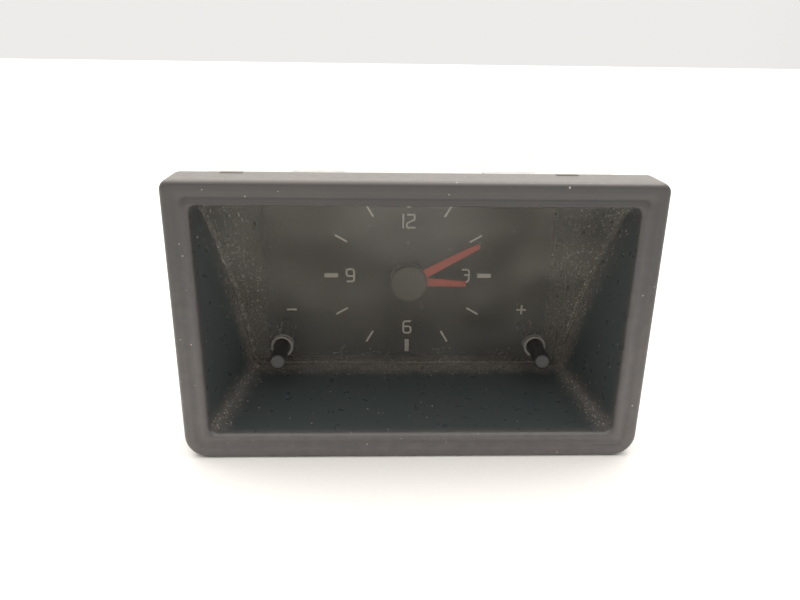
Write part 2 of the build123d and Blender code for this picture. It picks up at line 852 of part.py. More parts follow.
def housing_screws():
    """Four screws that clamp housing, carrier, light guide and dial to the tunnel's bosses."""
    tip = dial_depth - boss_length + 1.2
    size = (screw_radius, screw_head_radius, screw_head_height, tip, screw_seat)
    return group([screw(place, *size) for place in four_places(screw_x, screw_z)])


def movement_screws():
    """Four screws that hold the back plate on the carrier's posts."""
    size = (small_screw_radius, small_screw_head_radius, small_screw_head_height)
    span = (carrier_rear + 1.2, back_plate_rear)
    return group([screw(place, *size, *span) for place in movement_places])


def board_screws():
    """Four screws that hold the circuit board on the carrier's posts."""
    size = (small_screw_radius, small_screw_head_radius, small_screw_head_height)
    span = (carrier_rear + 4.2, board_rear)
    return group([screw(place, *size, *span) for place in board_places])


# ---- Circuit board --------------------------------------------------------------------------

blade_places = [
    (connector_x + blade_pitch * (step - (blade_count - 1) / 2), connector_z)
    for step in range(blade_count)
]


def circuit_board():
    """Circuit board with its screw holes."""
    height = board_top - board_bottom
    outline = RectangleRounded(2 * board_half_width, height, board_corner_radius)
    sketch = Pos(0, (board_top + board_bottom) / 2) * outline
    for place in board_places:
        sketch -= Pos(*place) * Circle(small_screw_radius + 0.1)
    return along_y(sketch, board_front, board_rear)


def quartz_crystal():
    """Crystal in a round metal can lying on the board."""
    start, height = crystal_place
    section = Circle(crystal_radius)
    can = along_x(board_rear + crystal_radius + 0.1, height, section, start, start + crystal_length)
    return fillet(can.faces().sort_by(Axis.X)[-1].edges(), 0.3 * crystal_radius)


def clock_chip():
    """Clock circuit in an eight-leg package."""
    x, z = chip_place
    low = z - chip_width / 2
    high = z + chip_width / 2
    depths = (board_rear + chip_lift, board_rear + chip_lift + chip_height)
    package = block((x - chip_length / 2, x + chip_length / 2), depths, (low, high))
    leg_depths = (board_rear, board_rear + chip_lift + chip_height / 2)
    for step in range(4):
        middle = x + chip_leg_pitch * (step - 1.5)
        x_range = (middle - chip_leg_width / 2, middle + chip_leg_width / 2)
        package += block(x_range, leg_depths, (low - chip_leg_reach, low))
        package += block(x_range, leg_depths, (high, high + chip_leg_reach))
    return package


def smoothing_capacitor():
    """Round electrolytic capacitor standing on the board."""
    can = rod(capacitor_place, capacitor_radius, board_rear, board_rear + capacitor_height)
    return fillet(can.faces().sort_by(Axis.Y)[-1].edges(), 0.4)


def axial_part(x_range, height, radius):
    """A small round body with thicker ends, lying along x on two bent legs."""
    start, end = x_range
    depth = board_rear + radius + 0.2
    leg = lead_half_width
    left = start + lead_reach
    right = end - lead_reach
    body = along_x(depth, height, Circle(0.82 * radius), left, right)
    body += along_x(depth, height, Circle(radius), left, left + band_length)
    body += along_x(depth, height, Circle(radius), right - band_length, right)
    square = Rectangle(2 * leg, 2 * leg)
    body += along_x(depth, height, square, start, left)
    body += along_x(depth, height, square, right, end)
    for x in (start, end - 2 * leg):
        body += block((x, x + 2 * leg), (board_rear, depth - leg), (height - leg, height + leg))
    return body


def board_resistors():
    """Three resistors in a row."""
    start = resistor_inset - board_half_width
    x_range = (start, start + resistor_length)
    return group([axial_part(x_range, -resistor_pitch * step, resistor_radius) for step in range(3)])


def protection_diode():
    """Diode across the supply."""
    x, z = diode_place
    return axial_part((x - resistor_length / 2, x + resistor_length / 2), z, diode_radius)


def terminal_blades():
    """Three flat blades that stand on the board and reach into the socket."""
    blades = []
    for x, z in blade_places:
        sketch = Pos(x, z) * Rectangle(blade_width, blade_thickness)
        blade = along_y(sketch, board_rear, housing_rear + blade_reach)
        blades.append(chamfer(blade.faces().sort_by(Axis.Y)[-1].edges(), 0.25))
    return group(blades)


def switch_contacts():
    """Domed contact on the board under each setting button."""
    domes = []
    for side in (-1, 1):
        place = (side * button_x, button_z)
        dome = rod(place, contact_radius, board_front - contact_height, board_front)
        domes.append(fillet(dome.faces().sort_by(Axis.Y)[0].edges(), 0.75 * contact_height))
    return group(domes)


# ---- Setting buttons ------------------------------------------------------------------------

flange_front = carrier_rear + 0.1
flange_rear = flange_front + button_flange_thickness


def setting_button(side):
    """Button stem through lens and dial, with a stop flange and a tail towards its contact."""
    place = (side * button_x, button_z)
    tip = lens_front_at(button_z) - button_proud
    stem = rod(place, button_radius, tip, flange_rear)
    stem = fillet(stem.faces().sort_by(Axis.Y)[0].edges(), button_tip_radius)
    stem += rod(place, button_flange_radius, flange_front, flange_rear)
    tail_rear = board_front - button_tail_gap - button_travel
    return stem + rod(place, button_tail_radius, flange_rear, tail_rear)


def button_spring(side):
    """Coil spring that pushes a button back to its stop."""
    start = flange_rear + spring_wire_radius + spring_seat_gap
    height = board_front - start - spring_wire_radius - spring_seat_gap
    path = Helix(pitch=height / spring_turns, height=height, radius=spring_radius)
    section = Plane(origin=path @ 0, z_dir=path % 0) * Circle(spring_wire_radius)
    coil = sweep(section, path=path, is_frenet=True)
    return Pos(side * button_x, start, button_z) * Rot(-90, 0, 0) * coil


# ---- Rear housing, lamp holder and clips ----------------------------------------------------

tunnel_half_width_at_rim = opening_width / 2 - side_lean * (housing_front - opening_face) + tunnel_wall
tunnel_top_at_rim = opening_top - roof_lean * (housing_front - opening_face) + tunnel_wall
housing_inner_half_width = tunnel_half_width_at_rim + housing_side_gap
housing_inner_half_height = tunnel_top_at_rim + housing_top_gap
housing_half_width = housing_inner_half_width + housing_wall
housing_half_height = housing_inner_half_height + housing_wall
lamp_z = housing_half_height - lamp_drop


def rear_housing():
    """Box-shaped rear cover with screw pillars, a connector socket and a lamp opening."""
    outer = RectangleRounded(2 * housing_half_width, 2 * housing_half_height, housing_corner_radius)
    inner_size = (2 * housing_inner_half_width, 2 * housing_inner_half_height)
    inner = RectangleRounded(*inner_size, housing_corner_radius - housing_wall)
    shell = along_y(outer, housing_front, housing_rear)
    shell = fillet(shell.faces().sort_by(Axis.Y)[-1].edges(), housing_edge_radius)
    shell -= along_y(inner, housing_front, rear_wall_front)
    for x, z in four_places(screw_x, screw_z):
        shell += rod((x, z), pillar_radius, carrier_rear, rear_wall_front)
        wall_x = math.copysign(housing_inner_half_width + 0.2, x)
        rib = sorted((x + math.copysign(pillar_radius - 0.6, x), wall_x))
        heights = (z - pillar_rib_width / 2, z + pillar_rib_width / 2)
        shell += block(rib, (screw_seat, rear_wall_front), heights)
        shell -= rod((x, z), screw_radius + clearance, carrier_rear, housing_rear)
        shell -= rod((x, z), counterbore_radius, screw_seat, housing_rear)
    shell += socket_shroud()
    for x, z in blade_places:
        slot = Rectangle(blade_width + 2 * blade_slot_gap, blade_thickness + 2 * blade_slot_gap)
        slot = Pos(x, z) * slot
        shell -= along_y(slot, rear_wall_front, housing_rear)
    shell -= lamp_opening()
    return shell + rear_ribs()


def socket_shroud():
    """Rectangular wall round the terminal blades, with a polarising step."""
    outer = Rectangle(socket_width + 2 * socket_wall, socket_height + 2 * socket_wall)
    shroud = outer - Rectangle(socket_width, socket_height)
    step = Rectangle(socket_step_width, socket_wall + 2 * socket_step)
    shroud += Pos(0, (socket_height + socket_wall) / 2 + socket_step) * step
    return along_y(Pos(connector_x, connector_z) * shroud, housing_rear, socket_rear)


def lamp_opening():
    """Round hole for the lamp holder's neck, with two notches that let its tabs in."""
    place = Pos(lamp_x, lamp_z)
    radius = lamp_neck_radius + running_gap
    opening = place * Circle(radius)
    width = lamp_tab_width + 2 * lamp_notch_gap
    opening += place * Rectangle(width, 2 * (lamp_neck_radius + lamp_tab_reach + lamp_notch_gap))
    return along_y(opening, rear_wall_front, housing_rear)


def rear_ribs():
    """Shallow moulded ribs on the rear wall and a raised ring round the lamp opening."""
    ribs = []
    depths = (housing_rear, housing_rear + rib_height)
    x_range = (rib_inset - housing_half_width, lamp_x - lamp_flange_radius - 4.0)
    for drop in rib_drops:
        z = housing_half_height - drop
        ribs.append(block(x_range, depths, (z - rib_width / 2, z + rib_width / 2)))
    ring = lamp_flange_radius + lamp_ring_gap
    ribs.append(tube((lamp_x, lamp_z), ring + lamp_ring_width, ring, *depths))
    solid = ribs[0]
    for rib in ribs[1:]:
        solid += rib
    return solid


def lamp_holder():
    """Twist-in bulb holder: a neck with two locking tabs, a flange and a grip."""
    place = (lamp_x, lamp_z)
    neck_front = rear_wall_front - lamp_neck_length + 1.0
    flange_front_face = housing_rear + 0.02
    flange_rear_face = flange_front_face + lamp_flange_thickness
    holder = rod(place, lamp_neck_radius, neck_front, flange_front_face)
    holder += rod(place, lamp_flange_radius, flange_front_face, flange_rear_face)
    grip = Pos(*place) * RectangleRounded(2 * lamp_flange_radius - 2.0, lamp_grip_width, 1.0)
    holder += along_y(grip, flange_rear_face, flange_rear_face + lamp_grip_height)
    tabs = Pos(*place) * Rectangle(2 * (lamp_neck_radius + lamp_tab_reach), lamp_tab_width)
    holder += along_y(tabs, rear_wall_front - 1.3, rear_wall_front - 0.1)
    return holder - rod(place, bulb_radius, neck_front, housing_rear - 1.0)


def lamp_bulb():
    """Capless wedge bulb: a round-ended glass envelope on a flat base."""
    place = (lamp_x, lamp_z)
    base_front = rear_wall_front - lamp_neck_length + 1.0
    glass = rod(place, bulb_radius, base_front - bulb_length + 4.0, base_front + 1.0)
    glass = fillet(glass.faces().sort_by(Axis.Y)[0].edges(), 0.9 * bulb_radius)
    base = Pos(*place) * Rectangle(1.8 * bulb_radius, 2.0)
    return glass + along_y(base, base_front + 1.0, housing_rear - 1.5)


def retaining_clip(side, level):
    """Bowed spring strip that presses against the panel from behind."""
    face = housing_half_height
    foot_end = clip_start + clip_foot
    half = clip_span / 2
    inner_radius = (half**2 + clip_bow**2) / (2 * clip_bow)
    middle = foot_end + half
    ring = Circle(inner_radius + clip_thickness) - Circle(inner_radius)
    x_range = (side * clip_x - clip_width / 2, side * clip_x + clip_width / 2)
    bow = along_x(middle, face + clip_bow - inner_radius, ring, *x_range)
    reach = (foot_end - clip_thickness, foot_end + clip_span + clip_thickness)
    bow &= block(x_range, reach, (face, face + clip_bow + 1))
    foot = block(x_range, (clip_start, foot_end), (face, face + clip_thickness))
    strip = bow + foot
    hole = (side * clip_x, clip_start + clip_foot / 2, face)
    strip -= Pos(*hole) * Cylinder(clip_hole_radius, 4 * clip_thickness)
    if level < 0:
        strip = strip.mirror(Plane.XY)
    return strip


# ---- All sub-parts --------------------------------------------------------------------------

sub_parts = {
    "bezel_hood": bezel_hood(),
    "lens": lens(),
    "dial_plate": dial_plate(),
    "dial_markings": dial_markings(),
    "light_guide": light_guide(),
    "centre_turret": centre_turret(),
    "minute_hand": minute_hand(),
    "hour_hand": hour_hand(),
    "hub_cap": hub_cap(),
    "minute_arbor": minute_arbor(),
    "centre_wheel": centre_wheel(),
    "hour_wheel": hour_wheel(),
    "motion_wheel": motion_wheel(),
    "third_arbor": third_arbor(),
    "third_wheel": third_wheel(),
    "rotor_arbor": rotor_arbor(),
    "rotor_magnet": rotor_magnet(),
    "movement_carrier": movement_carrier(),
    "movement_back_plate": movement_back_plate(),
    "stator_plate": stator_plate(),
    "coil_core": coil_core(),
    "coil_bobbin": coil_bobbin(),
    "coil_winding": coil_winding(),
    "movement_screws": movement_screws(),
    "circuit_board": circuit_board(),
    "board_screws": board_screws(),
    "quartz_crystal": quartz_crystal(),
    "clock_chip": clock_chip(),
    "smoothing_capacitor": smoothing_capacitor(),
    "board_resistors": board_resistors(),
    "protection_diode": protection_diode(),
    "terminal_blades": terminal_blades(),
    "switch_contacts": switch_contacts(),
    "setting_button_minus": setting_button(-1),
    "setting_button_plus": setting_button(1),
    "button_spring_minus": button_spring(-1),
    "button_spring_plus": button_spring(1),
    "rear_housing": rear_housing(),
    "housing_screws": housing_screws(),
    "lamp_holder": lamp_holder(),
    "lamp_bulb": lamp_bulb(),
    "retaining_clip_top_left": retaining_clip(-1, 1),
    "retaining_clip_top_right": retaining_clip(1, 1),
    "retaining_clip_bottom_left": retaining_clip(-1, -1),
    "retaining_clip_bottom_right": retaining_clip(1, -1),
}

os.makedirs("parts", exist_ok=True)
for node, shape in sub_parts.items():
    export_step(shape, f"parts/{node}.step")
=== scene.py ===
import math

import bmesh
import bpy
from mathutils import Matrix, Vector


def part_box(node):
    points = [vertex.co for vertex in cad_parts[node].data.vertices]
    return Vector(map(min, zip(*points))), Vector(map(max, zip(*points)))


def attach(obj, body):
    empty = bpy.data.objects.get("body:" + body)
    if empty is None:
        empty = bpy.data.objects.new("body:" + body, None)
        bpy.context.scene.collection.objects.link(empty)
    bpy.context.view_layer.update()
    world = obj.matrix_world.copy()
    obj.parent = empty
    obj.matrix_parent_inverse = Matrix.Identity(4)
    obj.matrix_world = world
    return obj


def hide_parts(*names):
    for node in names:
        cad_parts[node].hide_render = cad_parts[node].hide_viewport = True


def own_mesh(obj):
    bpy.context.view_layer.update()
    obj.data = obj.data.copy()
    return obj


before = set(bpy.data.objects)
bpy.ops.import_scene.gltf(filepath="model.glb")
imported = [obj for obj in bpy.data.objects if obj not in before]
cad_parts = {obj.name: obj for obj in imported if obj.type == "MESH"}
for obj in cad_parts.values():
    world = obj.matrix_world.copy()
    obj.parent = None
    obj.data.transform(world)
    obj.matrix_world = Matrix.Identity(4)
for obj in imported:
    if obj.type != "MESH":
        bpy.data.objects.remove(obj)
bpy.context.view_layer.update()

# A rectangular dashboard clock: a deep anti-glare hood behind a plain bezel, a curved clear lens,
# a dark dial with two orange hands, and a rear housing with a plug socket and a bulb holder.
# Lengths are in metres, written in millimetres times mm. The driver looks along +y, and z is up.
mm = 0.001


# ---- Bezel and hood -----------------------------------------------------------------------------
# One injection moulding in black ABS, with the spark-eroded grain of its tool on every face. A soft
# groove runs round the front, a bead rolls into the mouth, and the tunnel behind it narrows to the dial.

low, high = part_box("bezel_hood")
bezel_half_width = high.x
bezel_half_height = -low.z
bezel_front = low.y
dial_depth = high.y
bezel_top_corner = 2.4 * mm
bezel_bottom_corner = 5.6 * mm
bezel_inner_corner = 1.8 * mm
front_round = 1.3 * mm
front_wall = 2.6 * mm
skirt_wall = 1.8 * mm
groove_middle = 3.7 * mm
groove_half_width = 1.45 * mm
groove_depth = 0.45 * mm
mouth_half_width = 48.8 * mm
mouth_top = 28.4 * mm
mouth_bottom = -27.4 * mm
mouth_corner = 2.0 * mm
mouth_depth = bezel_front + 1.5 * mm
side_lean = 0.238
floor_lean = 0.162
roof_lean = 0.054
tunnel_wall = 1.8 * mm
bend_depth = 21.4 * mm
chamber_floor = -24.74 * mm
corner_steps = 8
front_steps = 6
groove_steps = 12
bead_steps = 8


def hood_floor(depth):
    """Height of the tunnel's floor, which rises as far as the lens and drops behind it."""
    bend = mouth_bottom + floor_lean * (min(depth, bend_depth) - mouth_depth)
    share = max(depth - bend_depth, 0) / (dial_depth - bend_depth)
    return bend + share * (chamber_floor - bend)


def loop(half_width, top, bottom, top_radius, bottom_radius, depth):
    """Points round a rectangle with rounded corners, facing the driver."""
    points = []
    low_middle = bottom + bottom_radius
    high_middle = top - top_radius
    corners = (
        (1, low_middle, bottom_radius, -90),
        (1, high_middle, top_radius, 0),
        (-1, high_middle, top_radius, 90),
        (-1, low_middle, bottom_radius, 180),
    )
    for side, middle_z, radius, start in corners:
        middle_x = side * (half_width - radius)
        for step in range(corner_steps + 1):
            angle = math.radians(start + 90 * step / corner_steps)
            points.append((middle_x + radius * math.cos(angle), depth, middle_z + radius * math.sin(angle)))
    return points


def bezel_loop(inset, depth):
    """A loop drawn in from the bezel's outline."""
    half_width = bezel_half_width - inset
    half_height = bezel_half_height - inset
    top_radius = max(bezel_top_corner - inset, bezel_inner_corner)
    bottom_radius = max(bezel_bottom_corner - inset, bezel_inner_corner)
    return loop(half_width, half_height, -half_height, top_radius, bottom_radius, depth)


def hood_loop(depth, grow):
    """A loop of the tunnel at one depth, grown outwards by a wall."""
    run = depth - mouth_depth
    half_width = mouth_half_width - side_lean * run + grow
    top = mouth_top - roof_lean * run + grow
    radius = mouth_corner + grow
    return loop(half_width, top, hood_floor(depth) - grow, radius, radius, depth)


def blend_loops(first, second, across, along):
    """A loop between two others, with its own share across the face and along the depth."""
    blended = []
    for a, b in zip(first, second):
        x = a[0] + (b[0] - a[0]) * across
        y = a[1] + (b[1] - a[1]) * along
        z = a[2] + (b[2] - a[2]) * across
        blended.append((x, y, z))
    return blended


def ring_faces(count, around, closed):
    """Quads between neighbouring loops, and between the last and the first of a closed tube."""
    faces = []
    for ring in range(count if closed else count - 1):
        after = (ring + 1) % count
        for step in range(around):
            ahead = (step + 1) % around
            corners = ((ring, step), (ring, ahead), (after, ahead), (after, step))
            faces.append([a * around + b for a, b in corners])
    return faces


def new_piece(name, points, faces):
    """An object from points and faces, with its normals turned outwards."""
    mesh = bpy.data.meshes.new(name)
    mesh.from_pydata(points, [], faces)
    work = bmesh.new()
    work.from_mesh(mesh)
    bmesh.ops.remove_doubles(work, verts=work.verts, dist=0.001 * mm)
    bmesh.ops.recalc_face_normals(work, faces=work.faces)
    work.to_mesh(mesh)
    work.free()
    piece = bpy.data.objects.new(name, mesh)
    bpy.context.scene.collection.objects.link(piece)
    return piece


def settle(piece, sharp=50):
    """Applies a piece's modifiers and leaves soft shading that keeps its flat faces flat."""
    for polygon in piece.data.polygons:
        polygon.use_smooth = True
    if piece.modifiers:
        bpy.context.view_layer.update()
        evaluated = piece.evaluated_get(bpy.context.evaluated_depsgraph_get())
        plain = bpy.data.meshes.new_from_object(evaluated)
        piece.modifiers.clear()
        piece.data = plain
    piece.data.set_sharp_from_angle(angle=math.radians(sharp))
    weighted = piece.modifiers.new("flat_faces", "WEIGHTED_NORMAL")
    weighted.keep_sharp = True
    bpy.context.view_layer.update()
    evaluated = piece.evaluated_get(bpy.context.evaluated_depsgraph_get())
    plain = bpy.data.meshes.new_from_object(evaluated)
    piece.modifiers.clear()
    piece.data = plain
    return piece


def dress(piece, material, body, slot, *nodes):
    """Gives a piece its material, hangs it on the empty of the body it rides, and hides the CAD nodes it
    stands for.
    """
    piece.data.materials.clear()
    piece.data.materials.append(material)
    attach(piece, body)
    if nodes:
        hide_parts(*nodes)
    return piece


def join(name, pieces):
    """Several closed shells as one piece."""
    work = bmesh.new()
    for piece in pieces:
        work.from_mesh(piece.data)
        bpy.data.objects.remove(piece)
    mesh = bpy.data.meshes.new(name)
    work.to_mesh(mesh)
    work.free()
    joined = bpy.data.objects.new(name, mesh)
    bpy.context.scene.collection.objects.link(joined)
    return joined


def turned(name, centre, profile, around=48):
    """A solid of revolution about a line along y, from (radius, depth) pairs; radius 0 closes an end."""
    points = []
    for radius, depth in profile:
        for step in range(around):
            angle = 2 * math.pi * step / around
            x = centre[0] + radius * math.cos(angle)
            points.append((x, depth, centre[1] + radius * math.sin(angle)))
    faces = ring_faces(len(profile), around, profile[0][0] > 0)
    return new_piece(name, points, faces)


loops = [bezel_loop(0, 0)]
for step in range(front_steps + 1):
    angle = math.radians(90 * step / front_steps)
    inset = front_round * (1 - math.cos(angle))
    loops.append(bezel_loop(inset, bezel_front + front_round * (1 - math.sin(angle))))
for step in range(groove_steps + 1):
    across = 2 * step / groove_steps - 1
    dip = groove_depth * 0.5 * (1 + math.cos(math.pi * across))
    loops.append(bezel_loop(groove_middle + groove_half_width * across, bezel_front + dip))
crest = loops[-1]
mouth = hood_loop(mouth_depth, 0)
for step in range(1, bead_steps + 1):
    angle = math.radians(90 * step / bead_steps)
    loops.append(blend_loops(crest, mouth, math.sin(angle), 1 - math.cos(angle)))
tunnel_depths = (0, 8 * mm, 14 * mm, bend_depth, dial_depth)
for depth in tunnel_depths:
    loops.append(hood_loop(depth, 0))
wall_rear = bezel_front + front_wall
for depth in (dial_depth, bend_depth, wall_rear):
    loops.append(hood_loop(depth, tunnel_wall))
loops.append(bezel_loop(skirt_wall, wall_rear))
loops.append(bezel_loop(skirt_wall, 0))
shell_points = [point for one in loops for point in one]
shells = [new_piece("hood_shell", shell_points, ring_faces(len(loops), len(crest), True))]

# Two low pads on top of the skirt, softly rounded, bear on the panel's hole.
pad_half_length = 2.5 * mm
pad_half_width = 0.7 * mm
pad_middle_y = -1.1 * mm
pad_height = high.z - bezel_half_height
pad_profile = ((0, -0.5), (0, 0.55), (0.16 * mm, 0.9), (0.42 * mm, 1.0))
for pad_x in (-41 * mm, 34 * mm):
    pad = []
    for inset, level in pad_profile:
        for side, end in ((-1, -1), (1, -1), (1, 1), (-1, 1)):
            x = pad_x + side * (pad_half_length - inset)
            y = pad_middle_y + end * (pad_half_width - inset)
            pad.append((x, y, bezel_half_height + level * pad_height))
    shells.append(new_piece("pad", pad, ring_faces(4, 4, False) + [[3, 2, 1, 0], [12, 13, 14, 15]]))

# Four screw bosses stand in the corners behind the dial, bored from the rear.
boss_radius = 2.9 * mm
boss_bore = 1.25 * mm
boss_front = dial_depth - 7.7 * mm
bore_end = boss_front + 1 * mm
screw_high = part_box("housing_screws")[1]
screw_head_radius = 2.6 * mm
screw_x = screw_high.x - screw_head_radius
screw_z = screw_high.z - screw_head_radius
for side in (-1, 1):
    for level in (-1, 1):
        profile = (
            (0, boss_front),
            (boss_radius, boss_front),
            (boss_radius, dial_depth),
            (boss_bore, dial_depth),
            (boss_bore, bore_end),
            (0, bore_end),
        )
        shells.append(turned("boss", (side * screw_x, level * screw_z), profile, 32))

# The lens is a sheet bent about a line along x. A low rail behind it, all round, holds it in place.
lens_top_depth = -6.0 * mm
lens_bottom_depth = 18.9 * mm
lens_bow = 2.2 * mm
lens_thickness = 1.6 * mm
lens_top = mouth_top - roof_lean * (lens_top_depth - mouth_depth)
lens_bottom = hood_floor(lens_bottom_depth)
lens_chord = math.hypot(lens_bottom_depth - lens_top_depth, lens_top - lens_bottom)
lens_radius = (lens_chord**2 / 4 + lens_bow**2) / (2 * lens_bow)
lens_reach = (lens_radius - lens_bow) / lens_chord
lens_axis_y = (lens_top_depth + lens_bottom_depth) / 2 - lens_reach * (lens_top - lens_bottom)
lens_axis_z = (lens_top + lens_bottom) / 2 - lens_reach * (lens_bottom_depth - lens_top_depth)


def lens_at(height, behind=0):
    """Depth of the sheet's front surface at one height, or of a surface behind it."""
    return lens_axis_y + math.sqrt((lens_radius + behind) ** 2 - (height - lens_axis_z) ** 2)


rail_depth = 0.5 * mm
rail_width = 0.6 * mm
rail_steps = 16
rail_section = ((0, -0.2), (0, 1), (1, 1), (1, -0.2))
for side in (-1, 1):
    rail = []
    for step in range(rail_steps + 1):
        height = lens_bottom + (lens_top - lens_bottom) * step / rail_steps
        for behind, in_from_wall in rail_section:
            y = lens_at(height, lens_thickness + behind * rail_depth)
            wall = mouth_half_width - side_lean * (y - mouth_depth)
            rail.append((side * (wall - in_from_wall * rail_width), y, height))
    last = 4 * rail_steps
    ends = [[3, 2, 1, 0], [last, last + 1, last + 2, last + 3]]
    shells.append(new_piece("rail", rail, ring_faces(rail_steps + 1, 4, False) + ends))
for height, inwards in ((lens_bottom, 1), (lens_top, -1)):
    rail = []
    for side in (-1, 1):
        for behind, in_from_wall in rail_section:
            z = height + inwards * in_from_wall * rail_width
            y = lens_at(height, lens_thickness + behind * rail_depth)
            rail.append((side * (mouth_half_width - side_lean * (y - mouth_depth)), y, z))
    shells.append(new_piece("rail", rail, ring_faces(2, 4, False) + [[3, 2, 1, 0], [4, 5, 6, 7]]))


def linear(code):
    """An sRGB hex colour as linear red, green, blue and alpha."""
    channels = [int(code[start:start + 2], 16) / 255 for start in (1, 3, 5)]
    return [c / 12.92 if c <= 0.04045 else ((c + 0.055) / 1.055) ** 2.4 for c in channels] + [1]


def add(tree, kind, inputs, **settings):
    """Adds one node. An input takes a value, a socket, or a node whose first output is meant."""
    node = tree.nodes.new(kind)
    for name, value in settings.items():
        setattr(node, name, value)
    for name, value in inputs.items():
        if isinstance(value, bpy.types.Node):
            value = value.outputs[0]
        if isinstance(value, bpy.types.NodeSocket):
            tree.links.new(value, node.inputs[name])
        else:
            node.inputs[name].default_value = value
    return node


def new_material(name):
    """An empty material, its node tree, and the object's own coordinates in metres."""
    made = bpy.data.materials.new(name)
    made.use_nodes = True
    tree = made.node_tree
    tree.nodes.clear()
    place = add(tree, "ShaderNodeTexCoord", {}).outputs["Object"]
    return made, tree, place


def specks(tree, place, size, share):
    """Dust: round grains about a given size apart, present in a given share of the places."""
    grains = add(tree, "ShaderNodeTexVoronoi", {"Vector": place, "Scale": 1 / size})
    chance = add(tree, "ShaderNodeSeparateColor", {0: grains.outputs["Color"]})
    here = add(tree, "ShaderNodeMath", {0: chance, 1: share}, operation="LESS_THAN")
    large = add(tree, "ShaderNodeMapRange", {0: chance.outputs[1], 3: 0.18, 4: 0.5})
    gap = add(tree, "ShaderNodeMath", {0: large, 1: grains}, operation="SUBTRACT")
    soft = add(tree, "ShaderNodeMapRange", {0: gap, 1: 0.0, 2: 0.12})
    return add(tree, "ShaderNodeMath", {0: soft, 1: here}, operation="MULTIPLY")


